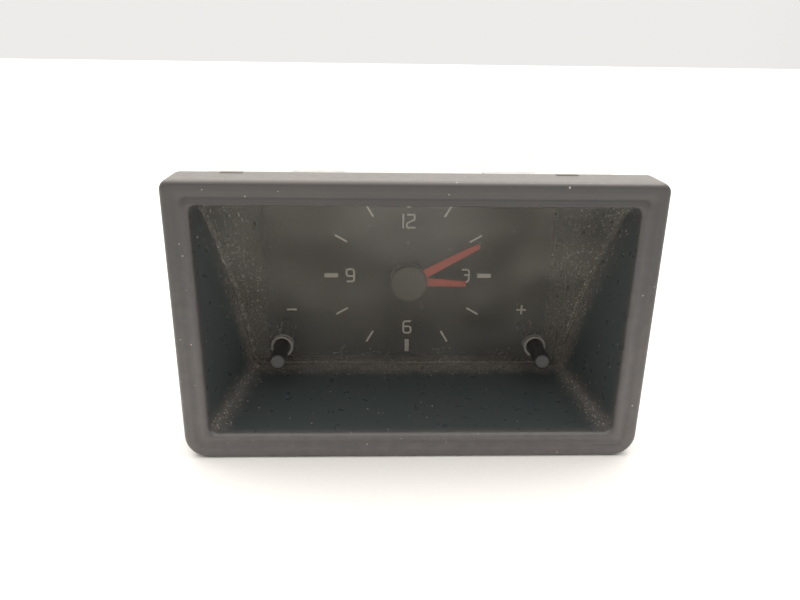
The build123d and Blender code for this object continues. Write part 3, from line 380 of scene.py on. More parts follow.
def bezel_abs():
    """Black ABS, spark-eroded in the tool and gone grey with handling, with dust where the hood holds it.

    The grain is 0.25 mm. It scatters the gloss, so faces seen at a low angle turn pale. The grey is
    partly painted light: it is painted stronger towards the bottom, for light bounced up off the floor,
    and weaker at the top, and the skirt's upward face is painted pale as a highlight of the light above.
    """
    made, tree, place = new_material("ABS_spark_eroded_black")
    axes = add(tree, "ShaderNodeSeparateXYZ", {0: place})
    x, y, z = axes.outputs
    drift = add(tree, "ShaderNodeTexNoise", {"Vector": place, "Scale": 1 / (14 * mm), "Detail": 3.0})
    rub = add(tree, "ShaderNodeTexNoise", {"Vector": place, "Scale": 1 / (2.5 * mm), "Detail": 4.0})
    grain = add(tree, "ShaderNodeTexNoise", {"Vector": place, "Scale": 1 / (0.25 * mm), "Detail": 2.0})
    cooler = linear("#434444")
    warmer = linear("#4D4845")
    base = add(tree, "ShaderNodeMix", {0: drift, 6: cooler, 7: warmer}, data_type="RGBA").outputs[2]
    wear_and_painted_bounce = add(tree, "ShaderNodeMapRange", {0: rub, 1: 0.35, 2: 0.75, 3: 0.0, 4: 0.35})
    # Painted light: the grey is painted stronger towards the bottom, for light bounced up off the floor, and
    # weaker at the top.
    painted_floor_bounce = add(tree, "ShaderNodeMapRange", {0: z, 1: 30 * mm, 2: -30 * mm, 3: -0.3, 4: 0.5})
    wear_and_painted_bounce = add(tree, "ShaderNodeMath", {0: wear_and_painted_bounce, 1: painted_floor_bounce}, operation="ADD", use_clamp=True)
    handled_grey_and_bounce = linear("#686361")
    base = add(tree, "ShaderNodeMix", {0: wear_and_painted_bounce, 6: base, 7: handled_grey_and_bounce}, data_type="RGBA").outputs[2]
    # The tunnel's inside was never handled or bleached by the sun, so it is darker and cooler.
    mouth_begins, mouth_ends = -9.2 * mm, -7.5 * mm
    outside_wall, inside_wall = 49.6 * mm, 49.0 * mm
    over_roof, under_roof = 30.2 * mm, 29.6 * mm
    out = add(tree, "ShaderNodeMath", {0: x}, operation="ABSOLUTE")
    inside = add(tree, "ShaderNodeMapRange", {0: y, 1: mouth_begins, 2: mouth_ends})
    within = add(tree, "ShaderNodeMapRange", {0: out, 1: outside_wall, 2: inside_wall})
    inside = add(tree, "ShaderNodeMath", {0: inside, 1: within}, operation="MULTIPLY")
    under = add(tree, "ShaderNodeMapRange", {0: z, 1: over_roof, 2: under_roof})
    inside = add(tree, "ShaderNodeMath", {0: inside, 1: under}, operation="MULTIPLY")
    fresh = linear("#424848")
    base = add(tree, "ShaderNodeMix", {0: inside, 6: base, 7: fresh}, data_type="RGBA").outputs[2]
    # How far a point stands from the lens, from a side wall and from the tunnel's floor.
    off_y = add(tree, "ShaderNodeMath", {0: y, 1: lens_axis_y}, operation="SUBTRACT")
    off_z = add(tree, "ShaderNodeMath", {0: z, 1: lens_axis_z}, operation="SUBTRACT")
    spoke = add(tree, "ShaderNodeCombineXYZ", {0: off_y, 1: off_z})
    length = add(tree, "ShaderNodeVectorMath", {0: spoke}, operation="LENGTH").outputs["Value"]
    ahead = add(tree, "ShaderNodeMath", {0: lens_radius, 1: length}, operation="SUBTRACT")
    ragged = 2.2 * mm
    wander = add(tree, "ShaderNodeMapRange", {0: rub, 3: -ragged, 4: ragged})
    ahead = add(tree, "ShaderNodeMath", {0: ahead, 1: wander}, operation="ADD")
    dust_reach = 5.0 * mm
    by_lens = add(tree, "ShaderNodeMapRange", {0: ahead, 1: dust_reach, 2: 0.8 * mm, 3: 0.0, 4: 1.0})
    run = add(tree, "ShaderNodeMath", {0: y, 1: mouth_depth}, operation="SUBTRACT")
    rise = add(tree, "ShaderNodeMath", {0: run, 1: floor_lean, 2: mouth_bottom}, operation="MULTIPLY_ADD")
    above = add(tree, "ShaderNodeMath", {0: z, 1: rise}, operation="SUBTRACT")
    lean = add(tree, "ShaderNodeMath", {0: run, 1: -side_lean, 2: mouth_half_width}, operation="MULTIPLY_ADD")
    beside = add(tree, "ShaderNodeMath", {0: lean, 1: out}, operation="SUBTRACT")
    corner = add(tree, "ShaderNodeMath", {0: above, 1: beside}, operation="MAXIMUM")
    corner = add(tree, "ShaderNodeMath", {0: corner, 1: wander}, operation="ADD")
    by_corner = {0: corner, 1: dust_reach, 2: 0.5 * mm, 3: 0.0, 4: 0.65}
    by_corner = add(tree, "ShaderNodeMapRange", by_corner)
    low_down = add(tree, "ShaderNodeMapRange", {0: z, 1: 24 * mm, 2: -22 * mm, 3: 0.15, 4: 1.0})
    by_lens = add(tree, "ShaderNodeMath", {0: by_lens, 1: low_down}, operation="MULTIPLY")
    settled = add(tree, "ShaderNodeMath", {0: by_lens, 1: by_corner}, operation="MAXIMUM")
    settled = add(tree, "ShaderNodeMath", {0: settled, 1: inside}, operation="MULTIPLY")
    stray = add(tree, "ShaderNodeMapRange", {0: rub, 1: 0.45, 2: 0.8, 3: 0.004, 4: 0.02})
    share = add(tree, "ShaderNodeMath", {0: settled, 1: stray}, operation="ADD")
    dust = specks(tree, place, 0.55 * mm, share)
    dust_film_and_top_highlight = add(tree, "ShaderNodeMath", {0: settled, 1: 0.25}, operation="MULTIPLY")
    # Painted highlight: the skirt's upward face is painted pale, for the light from above that falls on it.
    skirt_edge, skirt_top = 33.2 * mm, 33.9 * mm
    painted_top_highlight = add(tree, "ShaderNodeMapRange", {0: z, 1: skirt_edge, 2: skirt_top, 3: 0.0, 4: 0.2})
    dust_film_and_top_highlight = add(tree, "ShaderNodeMath", {0: dust_film_and_top_highlight, 1: painted_top_highlight}, operation="MAXIMUM")
    dust_and_top_highlight = add(tree, "ShaderNodeMath", {0: dust, 1: 0.8}, operation="MULTIPLY")
    dust_and_top_highlight = add(tree, "ShaderNodeMath", {0: dust_and_top_highlight, 1: dust_film_and_top_highlight}, operation="MAXIMUM")
    # This pale colour is the dust's, and also the painted highlight on the skirt's top.
    dust_and_highlight_colour = linear("#C2B3A6")
    base = add(tree, "ShaderNodeMix", {0: dust_and_top_highlight, 6: base, 7: dust_and_highlight_colour}, data_type="RGBA").outputs[2]
    gloss = add(tree, "ShaderNodeMapRange", {0: rub, 1: 0.3, 2: 0.7, 3: 0.38, 4: 0.5})
    groove_side, groove_bottom = -9.95 * mm, -9.5 * mm
    rubbed = {0: y, 1: groove_side, 2: groove_bottom, 3: 0.0, 4: -0.12}
    rubbed = add(tree, "ShaderNodeMapRange", rubbed)
    gloss = add(tree, "ShaderNodeMath", {0: gloss, 1: rubbed}, operation="ADD")
    rough_dust_and_top_highlight = add(tree, "ShaderNodeMath", {0: dust_and_top_highlight, 1: 0.6}, operation="MULTIPLY")
    gloss = add(tree, "ShaderNodeMath", {0: gloss, 1: rough_dust_and_top_highlight}, operation="MAXIMUM")
    height = add(tree, "ShaderNodeMath", {0: dust, 1: 0.2, 2: grain}, operation="MULTIPLY_ADD")
    relief = add(tree, "ShaderNodeBump", {"Height": height, "Strength": 0.55, "Distance": 0.03 * mm})
    look = {"Base Color": base, "Roughness": gloss, "Normal": relief, "IOR": 1.52}
    surface = add(tree, "ShaderNodeBsdfPrincipled", look)
    add(tree, "ShaderNodeOutputMaterial", {0: surface})
    return made


bezel = settle(join("bezel_and_hood", shells))
dress(bezel, bezel_abs(), "case_body", "bezel_plastic", "bezel_hood")


# ---- Lens ---------------------------------------------------------------------------------------
# A clear acrylic sheet, moulded in a curve and dropped in against its rail. Years of wiping have left
# fine scratches and a light haze, with dust along its lower edge and scuffed rims at the button holes.

button_low, button_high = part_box("setting_button_plus")
button_x = (button_low.x + button_high.x) / 2
button_z = (button_low.z + button_high.z) / 2


def lens_acrylic():
    """Clear acrylic. Wiping marks run from side to side; dust and haze catch the light without a gloss.

    Its surface is bloomed and matt against glare, so it hardly mirrors. A clear coat, strongest across
    the middle near the top, is a painted reflection of the bright room in front.
    """
    made, tree, place = new_material("acrylic_clear_moulded")
    axes = add(tree, "ShaderNodeSeparateXYZ", {0: place})
    stretched = add(tree, "ShaderNodeMapping", {0: place, 2: (0, 0.1, 0.06), 3: (0.035, 1.0, 1.0)})
    wiped = add(tree, "ShaderNodeTexNoise", {"Vector": stretched, "Scale": 1 / (0.35 * mm), "Detail": 3.0})
    patch = add(tree, "ShaderNodeTexNoise", {"Vector": place, "Scale": 1 / (16 * mm), "Detail": 3.0})
    scratch = add(tree, "ShaderNodeMapRange", {0: wiped, 1: 0.62, 2: 0.74})
    cloud = add(tree, "ShaderNodeMapRange", {0: patch, 1: 0.3, 2: 0.75, 3: 0.042, 4: 0.1})
    streak = add(tree, "ShaderNodeMath", {0: scratch, 1: patch}, operation="MULTIPLY")
    streak = add(tree, "ShaderNodeMath", {0: streak, 1: 0.10}, operation="MULTIPLY")
    haze = add(tree, "ShaderNodeMath", {0: cloud, 1: streak}, operation="ADD")
    low_edge = {0: axes.outputs[2], 1: -14 * mm, 2: -23 * mm, 3: 0.0, 4: 0.42}
    by_edge = add(tree, "ShaderNodeMapRange", low_edge, interpolation_type="SMOOTHSTEP")
    clumps = add(tree, "ShaderNodeMapRange", {0: patch, 1: 0.35, 2: 0.65, 3: 0.5, 4: 1.3})
    by_edge = add(tree, "ShaderNodeMath", {0: by_edge, 1: clumps}, operation="MULTIPLY")
    run = add(tree, "ShaderNodeMath", {0: axes.outputs[1], 1: mouth_depth}, operation="SUBTRACT")
    lean = add(tree, "ShaderNodeMath", {0: run, 1: -side_lean, 2: mouth_half_width}, operation="MULTIPLY_ADD")
    out = add(tree, "ShaderNodeMath", {0: axes.outputs[0]}, operation="ABSOLUTE")
    beside = add(tree, "ShaderNodeMath", {0: lean, 1: out}, operation="SUBTRACT")
    by_side = add(tree, "ShaderNodeMapRange", {0: beside, 1: 10 * mm, 2: 1 * mm, 3: 0.0, 4: 0.3})
    by_side = add(tree, "ShaderNodeMath", {0: by_side, 1: clumps}, operation="MULTIPLY")
    share = add(tree, "ShaderNodeMath", {0: by_edge, 1: by_side}, operation="MAXIMUM")
    share = add(tree, "ShaderNodeMath", {0: share, 1: 0.012}, operation="ADD")
    dust = specks(tree, place, 0.5 * mm, share)
    dust = add(tree, "ShaderNodeMath", {0: dust, 1: 0.35}, operation="MULTIPLY")
    veil = add(tree, "ShaderNodeMath", {0: haze, 1: dust}, operation="MAXIMUM")
    # The rims of the button holes are scuffed by fingers and have lost their polish.
    from_x = add(tree, "ShaderNodeMath", {0: out, 1: button_x}, operation="SUBTRACT")
    from_z = add(tree, "ShaderNodeMath", {0: axes.outputs[2], 1: button_z}, operation="SUBTRACT")
    spoke = add(tree, "ShaderNodeCombineXYZ", {0: from_x, 1: from_z})
    radius = add(tree, "ShaderNodeVectorMath", {0: spoke}, operation="LENGTH").outputs["Value"]
    collar_edge, collar_top = 3.05 * mm, 2.9 * mm
    rim = add(tree, "ShaderNodeMapRange", {0: radius, 1: collar_edge, 2: collar_top, 3: 0.0, 4: 0.3})
    veil = add(tree, "ShaderNodeMath", {0: veil, 1: rim}, operation="MAXIMUM")
    clear = add(tree, "ShaderNodeMath", {0: 1.0, 1: veil}, operation="SUBTRACT")
    # Painted reflection: the coat is weighted to the middle and the top, where it mirrors the bright room.
    across = {0: out, 1: 24 * mm, 2: 2 * mm}
    across = add(tree, "ShaderNodeMapRange", across, interpolation_type="SMOOTHSTEP")
    reflection_high = {0: axes.outputs[2], 1: 0.0, 2: 20 * mm}
    reflection_high = add(tree, "ShaderNodeMapRange", reflection_high, interpolation_type="SMOOTHSTEP")
    painted_reflection = add(tree, "ShaderNodeMath", {0: across, 1: reflection_high}, operation="MULTIPLY")
    painted_reflection = add(tree, "ShaderNodeMapRange", {0: painted_reflection, 3: 0.08, 4: 1.0})
    look = {
        "Base Color": linear("#CFCCC5"),
        "Roughness": 0.012,
        "IOR": 1.12,
        "Coat Weight": painted_reflection,
        "Coat Roughness": 0.32,
        "Transmission Weight": clear,
    }
    surface = add(tree, "ShaderNodeBsdfPrincipled", look)
    through = add(tree, "ShaderNodeBsdfTransparent", {0: (0.86, 0.86, 0.85, 1)})
    path = add(tree, "ShaderNodeLightPath", {})
    # Light falls through the sheet freely, so that the dial behind it is lit.
    lit = {0: path.outputs["Is Shadow Ray"], 1: path.outputs["Is Diffuse Ray"]}
    lit = add(tree, "ShaderNodeMath", lit)
    either = add(tree, "ShaderNodeMixShader", {0: lit, 1: surface, 2: through})
    add(tree, "ShaderNodeOutputMaterial", {0: either})
    return made


def repaint(node, material):
    """Gives a CAD node, whose shape is right as it is, a better material."""
    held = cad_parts[node]
    held.data.materials.clear()
    held.data.materials.append(material)


repaint("lens", lens_acrylic())


# ---- Dial and print -----------------------------------------------------------------------------
# A stamped sheet of matt black polystyrene, screen-printed in off-white ink: twelve ticks, four
# numerals, and a minus and a plus over the setting buttons. The screws of the housing clamp it.


def moulded(name, colour, shade, grain, roughness, relief_depth, extra=None):
    """A moulded or coated plastic: its colour drifts a little, and a fine grain breaks up the gloss."""
    made, tree, place = new_material(name)
    drift = add(tree, "ShaderNodeTexNoise", {"Vector": place, "Scale": 1 / (9 * mm), "Detail": 3.0})
    texture = add(tree, "ShaderNodeTexNoise", {"Vector": place, "Scale": 1 / grain, "Detail": 4.0})
    tones = {0: drift, 6: linear(colour), 7: linear(shade)}
    base = add(tree, "ShaderNodeMix", tones, data_type="RGBA").outputs[2]
    dust = specks(tree, place, 0.5 * mm, 0.012)
    dust = add(tree, "ShaderNodeMath", {0: dust, 1: 0.5}, operation="MULTIPLY")
    base = add(tree, "ShaderNodeMix", {0: dust, 6: base, 7: linear("#9A958C")}, data_type="RGBA").outputs[2]
    gloss = {0: texture, 1: 0.3, 2: 0.7, 3: roughness - 0.07, 4: roughness + 0.07}
    gloss = add(tree, "ShaderNodeMapRange", gloss)
    relief = add(tree, "ShaderNodeBump", {"Height": texture, "Strength": 0.5, "Distance": relief_depth})
    look = {"Base Color": base, "Roughness": gloss, "Normal": relief, **(extra or {})}
    surface = add(tree, "ShaderNodeBsdfPrincipled", look)
    add(tree, "ShaderNodeOutputMaterial", {0: surface})
    return made


dial_black = moulded("polystyrene_matt_black", "#3B3A38", "#43413E", 0.18 * mm, 0.62, 0.02 * mm)
print_ink = moulded("screen_ink_off_white", "#F4F0E8", "#E8E3D9", 0.12 * mm, 0.55, 0.01 * mm)
repaint("dial_plate", dial_black)
repaint("dial_markings", print_ink)


# ---- Turret, hands and hub cap ------------------------------------------------------------------
# Two aluminium hands, blanked from thin sheet and sprayed fluorescent orange, ride one above the other
# on the motion work. A black moulded turret stands behind them and a black cap covers their hub.


def finished_copy(node, name, edge, segments=2):
    """A copy of a CAD node with its triangles merged into whole faces and its edges rounded."""
    work = bmesh.new()
    work.from_mesh(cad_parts[node].data)
    bmesh.ops.remove_doubles(work, verts=work.verts, dist=0.002 * mm)
    bmesh.ops.dissolve_limit(work, angle_limit=math.radians(0.6), verts=work.verts, edges=work.edges)
    points = [tuple(vertex.co) for vertex in work.verts]
    work.verts.index_update()
    faces = [[vertex.index for vertex in face.verts] for face in work.faces]
    work.free()
    mesh = bpy.data.meshes.new(name)
    mesh.from_pydata(points, [], faces)
    piece = bpy.data.objects.new(name, mesh)
    bpy.context.scene.collection.objects.link(piece)
    rounding = piece.modifiers.new("edges", "BEVEL")
    rounding.width = edge
    rounding.segments = segments
    rounding.limit_method = "ANGLE"
    rounding.angle_limit = math.radians(32)
    rounding.use_clamp_overlap = True
    return settle(piece)


hand_paint = moulded("aluminium_sprayed_orange", "#F0604A", "#DE5A46", 0.10 * mm, 0.42, 0.006 * mm)
for hand in ("minute", "hour"):
    piece = finished_copy(f"{hand}_hand", f"{hand}_hand_painted", 0.07 * mm)
    dress(piece, hand_paint, f"{hand}_body", "hand_orange", f"{hand}_hand")

hub_black = moulded("acetal_black_turned", "#565753", "#5F5F5B", 0.15 * mm, 0.4, 0.012 * mm)
low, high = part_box("hub_cap")
cap_radius = high.x
cap_bore = 1.0 * mm
cap_profile = [
    (0, low.y + 0.12 * mm),
    (cap_radius * 0.45, low.y + 0.09 * mm),
    (cap_radius * 0.8, low.y + 0.03 * mm),
    (cap_radius - 0.5 * mm, low.y),
    (cap_radius - 0.24 * mm, low.y + 0.06 * mm),
    (cap_radius - 0.07 * mm, low.y + 0.22 * mm),
    (cap_radius, low.y + 0.45 * mm),
    (cap_radius, high.y),
    (cap_bore, high.y),
    (cap_bore, (low.y + high.y) / 2),
    (0, (low.y + high.y) / 2),
]
cap = settle(turned("hub_cap_moulded", (0, 0), cap_profile, 96))
dress(cap, hub_black, "minute_body", "hub_black", "hub_cap")
turret = finished_copy("centre_turret", "centre_turret_moulded", 0.15 * mm)
dress(turret, hub_black, "case_body", "hub_black", "centre_turret")


# ---- Setting buttons and their springs ----------------------------------------------------------
# Black nylon stems that slide through the lens and the dial, each with a stop flange and a tail over
# its contact. A coil spring of hard steel wire under each flange pushes the stem back out.

button_nylon = moulded("nylon_black_moulded", "#2E2D2C", "#3A3836", 0.14 * mm, 0.3, 0.012 * mm)
stem_radius = 2.0 * mm
tail_radius = 1.0 * mm
flange_thickness = 1.0 * mm
flange_edge = 0.15 * mm
for sign in ("minus", "plus"):
    low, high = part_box(f"setting_button_{sign}")
    centre = ((low.x + high.x) / 2, (low.z + high.z) / 2)
    flange_radius = (high.x - low.x) / 2
    flange_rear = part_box(f"button_spring_{sign}")[0].y
    flange_front = flange_rear - flange_thickness
    profile = [
        (0, low.y + 0.10 * mm),
        (0.9 * mm, low.y + 0.05 * mm),
        (1.45 * mm, low.y),
        (1.72 * mm, low.y + 0.05 * mm),
        (1.9 * mm, low.y + 0.18 * mm),
        (stem_radius, low.y + 0.4 * mm),
        (stem_radius, flange_front),
        (flange_radius - flange_edge, flange_front),
        (flange_radius, flange_front + flange_edge),
        (flange_radius, flange_rear - flange_edge),
        (flange_radius - flange_edge, flange_rear),
        (tail_radius, flange_rear),
        (tail_radius, high.y - flange_edge),
        (0.85 * mm, high.y),
        (0, high.y),
    ]
    button = settle(turned(f"setting_button_{sign}_moulded", centre, profile, 40))
    dress(button, button_nylon, f"button_{sign}_body", "button_black", f"setting_button_{sign}")


def metal(name, colour, shade, roughness, grain, stretch, relief_depth):
    """A bare or plated metal, with fine lines along the way it was rolled, drawn or turned."""
    made, tree, place = new_material(name)
    lines = add(tree, "ShaderNodeMapping", {0: place, 3: stretch})
    texture = add(tree, "ShaderNodeTexNoise", {"Vector": lines, "Scale": 1 / grain, "Detail": 4.0})
    tarnish = add(tree, "ShaderNodeTexNoise", {"Vector": place, "Scale": 1 / (4 * mm), "Detail": 5.0})
    stain = add(tree, "ShaderNodeMapRange", {0: tarnish, 1: 0.35, 2: 0.75})
    tones = {0: stain, 6: linear(colour), 7: linear(shade)}
    base = add(tree, "ShaderNodeMix", tones, data_type="RGBA").outputs[2]
    gloss = {0: texture, 1: 0.3, 2: 0.7, 3: roughness - 0.08, 4: roughness + 0.08}
    gloss = add(tree, "ShaderNodeMapRange", gloss)
    relief = add(tree, "ShaderNodeBump", {"Height": texture, "Strength": 0.4, "Distance": relief_depth})
    look = {"Base Color": base, "Metallic": 1.0, "Roughness": gloss, "Normal": relief}
    surface = add(tree, "ShaderNodeBsdfPrincipled", look)
    add(tree, "ShaderNodeOutputMaterial", {0: surface})
    return made


def new_tree(name, sizes):
    """A Geometry Nodes tree with named inputs for its sizes and its material, and its group input."""
    tree = bpy.data.node_groups.new(name, "GeometryNodeTree")
    for label, kind in sizes:
        tree.interface.new_socket(label, in_out="INPUT", socket_type=kind)
    tree.interface.new_socket("Material", in_out="INPUT", socket_type="NodeSocketMaterial")
    tree.interface.new_socket("Geometry", in_out="OUTPUT", socket_type="NodeSocketGeometry")
    return tree, tree.nodes.new("NodeGroupInput").outputs


def close_tree(tree, shape, material):
    """Ends a tree with real geometry that carries the material."""
    real = add(tree, "GeometryNodeRealizeInstances", {0: shape})
    painted = add(tree, "GeometryNodeSetMaterial", {0: real, "Material": material})
    smooth = add(tree, "GeometryNodeSetShadeSmooth", {0: painted})
    add(tree, "NodeGroupOutput", {0: smooth})


def grown(name, tree, material, **sizes):
    """A plain mesh made by a tree with these input values."""
    piece = bpy.data.objects.new(name, bpy.data.meshes.new(name))
    bpy.context.scene.collection.objects.link(piece)
    growth = piece.modifiers.new("growth", "NODES")
    growth.node_group = tree
    values = {label.replace("_", " "): value for label, value in sizes.items()}
    values["Material"] = material
    for item in tree.interface.items_tree:
        if item.in_out == "INPUT":
            growth[item.identifier] = values[item.name]
    bpy.context.view_layer.update()
    evaluated = piece.evaluated_get(bpy.context.evaluated_depsgraph_get())
    plain = bpy.data.meshes.new_from_object(evaluated)
    piece.modifiers.clear()
    piece.data = plain
    plain.set_sharp_from_angle(angle=math.radians(50))
    return piece


helix_sizes = [
    ("Coil Radius", "NodeSocketFloat"),
    ("Wire Radius", "NodeSocketFloat"),
    ("Coil Height", "NodeSocketFloat"),
    ("Turns", "NodeSocketFloat"),
    ("Turn", "NodeSocketVector"),
    ("Start", "NodeSocketVector"),
]
helix_tree, given = new_tree("wire_helix", helix_sizes)
spiral = {"Resolution": 28, "Rotations": given["Turns"], "Height": given["Coil Height"]}
spiral["Start Radius"] = given["Coil Radius"]
spiral["End Radius"] = given["Coil Radius"]
spiral = add(helix_tree, "GeometryNodeCurveSpiral", spiral)
wire = add(helix_tree, "GeometryNodeCurvePrimitiveCircle", {"Resolution": 10, "Radius": given["Wire Radius"]})
coil = {"Curve": spiral, "Profile Curve": wire, "Fill Caps": True}
coil = add(helix_tree, "GeometryNodeCurveToMesh", coil)
turn_and_place = {"Geometry": coil, "Rotation": given["Turn"], "Translation": given["Start"]}
placed = add(helix_tree, "GeometryNodeTransform", turn_and_place)
close_tree(helix_tree, placed, given["Material"])

spring_wire = metal("steel_spring_wire", "#8F8E8B", "#6F6A62", 0.3, 0.1 * mm, (1, 1, 1), 0.004 * mm)
wire_radius = 0.18 * mm
spring_turns = 7.0
for sign in ("minus", "plus"):
    low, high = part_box(f"button_spring_{sign}")
    middle_x = (low.x + high.x) / 2
    middle_z = (low.z + high.z) / 2
    length = high.y - low.y
    spring = grown(
        f"button_spring_{sign}_wound",
        helix_tree,
        spring_wire,
        Coil_Radius=(high.x - low.x) / 2 - wire_radius,
        Wire_Radius=wire_radius,
        Coil_Height=length - 2 * wire_radius,
        Turns=spring_turns,
        Turn=(math.radians(-90), 0, 0),
        Start=(middle_x, low.y + wire_radius, middle_z),
    )
    dress(spring, spring_wire, "case_body", "spring_steel", f"button_spring_{sign}")
    # The point where the coil's rear end is seated is worked out, and the coil gets a mesh of its own.
    seat = (middle_x, high.y, middle_z)
    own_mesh(spring)


# ---- Light guide, carrier and movement ----------------------------------------------------------
# Behind the dial: a clear acrylic plate spreads the lamp's light, a plate of natural acetal carries
# the movement on its posts, and a one-coil stepping motor drives brass and acetal wheels.

acrylic_plain = {"Transmission Weight": 0.92, "IOR": 1.49}
guide_acrylic = moulded("acrylic_clear_plate", "#E9EBE8", "#DFE3E0", 1.5 * mm, 0.1, 0.002 * mm, acrylic_plain)
repaint("light_guide", guide_acrylic)

acetal = {"Subsurface Weight": 0.15, "Subsurface Scale": 0.6 * mm, "IOR": 1.48}
carrier_acetal = moulded("acetal_natural_moulded", "#D9D6CB", "#CBC7BA", 0.2 * mm, 0.45, 0.01 * mm, acetal)
wheel_acetal = moulded("acetal_cream_moulded", "#D8CFB4", "#CBC1A2", 0.16 * mm, 0.42, 0.008 * mm, acetal)
brass = metal("brass_sawn_and_gilt", "#D2AE62", "#A9884B", 0.3, 0.12 * mm, (1, 6, 1), 0.004 * mm)
pivot_steel = metal("steel_burnished", "#A8A7A4", "#8B8985", 0.22, 0.1 * mm, (1, 0.1, 1), 0.003 * mm)
soft_iron = metal("iron_annealed_plated", "#8C8B88", "#74706A", 0.42, 0.15 * mm, (6, 1, 1), 0.006 * mm)
magnet_ferrite = moulded("ferrite_sintered", "#3D3C3B", "#4A4846", 0.08 * mm, 0.5, 0.01 * mm)

for node in ("movement_carrier", "movement_back_plate"):
    plate = finished_copy(node, f"{node}_moulded", 0.12 * mm)
    dress(plate, carrier_acetal, "case_body", "carrier_natural", node)
for node in ("hour_wheel", "motion_wheel", "third_wheel"):
    repaint(node, wheel_acetal)
repaint("centre_wheel", brass)
for node in ("minute_arbor", "third_arbor", "rotor_arbor"):
    repaint(node, pivot_steel)
repaint("rotor_magnet", magnet_ferrite)
for node in ("stator_plate", "coil_core"):
    repaint(node, soft_iron)

bobbin_nylon = moulded("nylon_natural_bobbin", "#CFCBBB", "#C1BCA9", 0.2 * mm, 0.4, 0.008 * mm)
repaint("coil_bobbin", bobbin_nylon)

# The winding is enamelled wire of 0.07 mm. Its turns are drawn 0.2 mm thick, so that they show.
copper = metal("copper_enamelled_wire", "#C8703C", "#A9552B", 0.25, 0.1 * mm, (1, 1, 1), 0.003 * mm)
low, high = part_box("coil_winding")
outer_radius = (high.z - low.z) / 2
turn_pitch = 0.2 * mm
layer_count = 4
wound_length = high.x - low.x - turn_pitch
layers = []
for layer in range(layer_count):
    layers.append(
        grown(
            f"winding_layer_{layer}",
            helix_tree,
            copper,
            Coil_Radius=outer_radius - turn_pitch * (0.5 + layer),
            Wire_Radius=turn_pitch / 2,
            Coil_Height=wound_length,
            Turns=wound_length / turn_pitch,
            Turn=(0, math.radians(90), 0),
            Start=(low.x + turn_pitch / 2, (low.y + high.y) / 2, (low.z + high.z) / 2),
        )
    )
winding = settle(join("coil_winding_wound", layers))
dress(winding, copper, "case_body", "copper_winding", "coil_winding")


# ---- Circuit board ------------------------------------------------------------------------------
# Laminate with etched tracks under a green solder mask. The clock chip, its crystal, a capacitor,
# three resistors and a diode stand on the rear face and are soldered there.


def laminate():
    """Solder-masked laminate: tracks show as slightly raised, darker green bands on a staggered plan."""
    made, tree, place = new_material("laminate_solder_masked")
    turned_place = add(tree, "ShaderNodeMapping", {0: place, 2: (math.radians(90), 0, 0)})
    plan = {"Vector": turned_place, "Scale": 1 / (4.2 * mm), "Mortar Size": 0.12}
    tracks = add(tree, "ShaderNodeTexBrick", plan).outputs["Fac"]
    weave = add(tree, "ShaderNodeTexNoise", {"Vector": place, "Scale": 1 / (0.4 * mm), "Detail": 3.0})
    tones = {0: tracks, 6: linear("#3F6B47"), 7: linear("#2C5236")}
    base = add(tree, "ShaderNodeMix", tones, data_type="RGBA").outputs[2]
    height = add(tree, "ShaderNodeMath", {0: weave, 1: 0.3, 2: tracks}, operation="MULTIPLY_ADD")
    relief = add(tree, "ShaderNodeBump", {"Height": height, "Strength": 0.5, "Distance": 0.04 * mm})
    look = {"Base Color": base, "Roughness": 0.32, "Normal": relief}
    surface = add(tree, "ShaderNodeBsdfPrincipled", look)
    add(tree, "ShaderNodeOutputMaterial", {0: surface})
    return made


repaint("circuit_board", laminate())
chip_epoxy = moulded("epoxy_transfer_moulded", "#262626", "#2F2E2D", 0.1 * mm, 0.55, 0.01 * mm)
can_metal = metal("steel_can_nickelled", "#C3C2BD", "#A5A39D", 0.25, 0.2 * mm, (1, 1, 1), 0.004 * mm)
sleeve = moulded("pvc_shrink_sleeve", "#1F2A44", "#26324D", 0.3 * mm, 0.3, 0.006 * mm)
resistor_lacquer = moulded("lacquer_tan_dipped", "#B79A72", "#A98B62", 0.3 * mm, 0.35, 0.006 * mm)
diode_epoxy = moulded("epoxy_black_diode", "#242322", "#302E2C", 0.15 * mm, 0.4, 0.006 * mm)
tinned = metal("brass_tinned", "#C9C8C2", "#AFAEA7", 0.28, 0.15 * mm, (1, 0.12, 1), 0.005 * mm)
repaint("clock_chip", chip_epoxy)
repaint("quartz_crystal", can_metal)
repaint("smoothing_capacitor", sleeve)
repaint("board_resistors", resistor_lacquer)
repaint("protection_diode", diode_epoxy)
repaint("switch_contacts", tinned)
repaint("terminal_blades", tinned)


# ---- Rear housing -------------------------------------------------------------------------------
# One deep moulding in off-white ABS that slips over the tunnel. Its rear wall has stiffening ribs, a
# walled socket for the supply plug, a hole for the bulb holder and four wells for the long screws.

housing_abs = moulded("ABS_off_white_moulded", "#D8D5CB", "#CCC8BC", 0.3 * mm, 0.42, 0.02 * mm)
housing = finished_copy("rear_housing", "rear_housing_moulded", 0.3 * mm)
dress(housing, housing_abs, "case_body", "housing_white", "rear_housing")


# ---- Screws -------------------------------------------------------------------------------------
# Zinc-plated thread-forming screws with pan heads and cross recesses. Four long ones hold the housing,
# and two sets of four small ones hold the movement and the board.

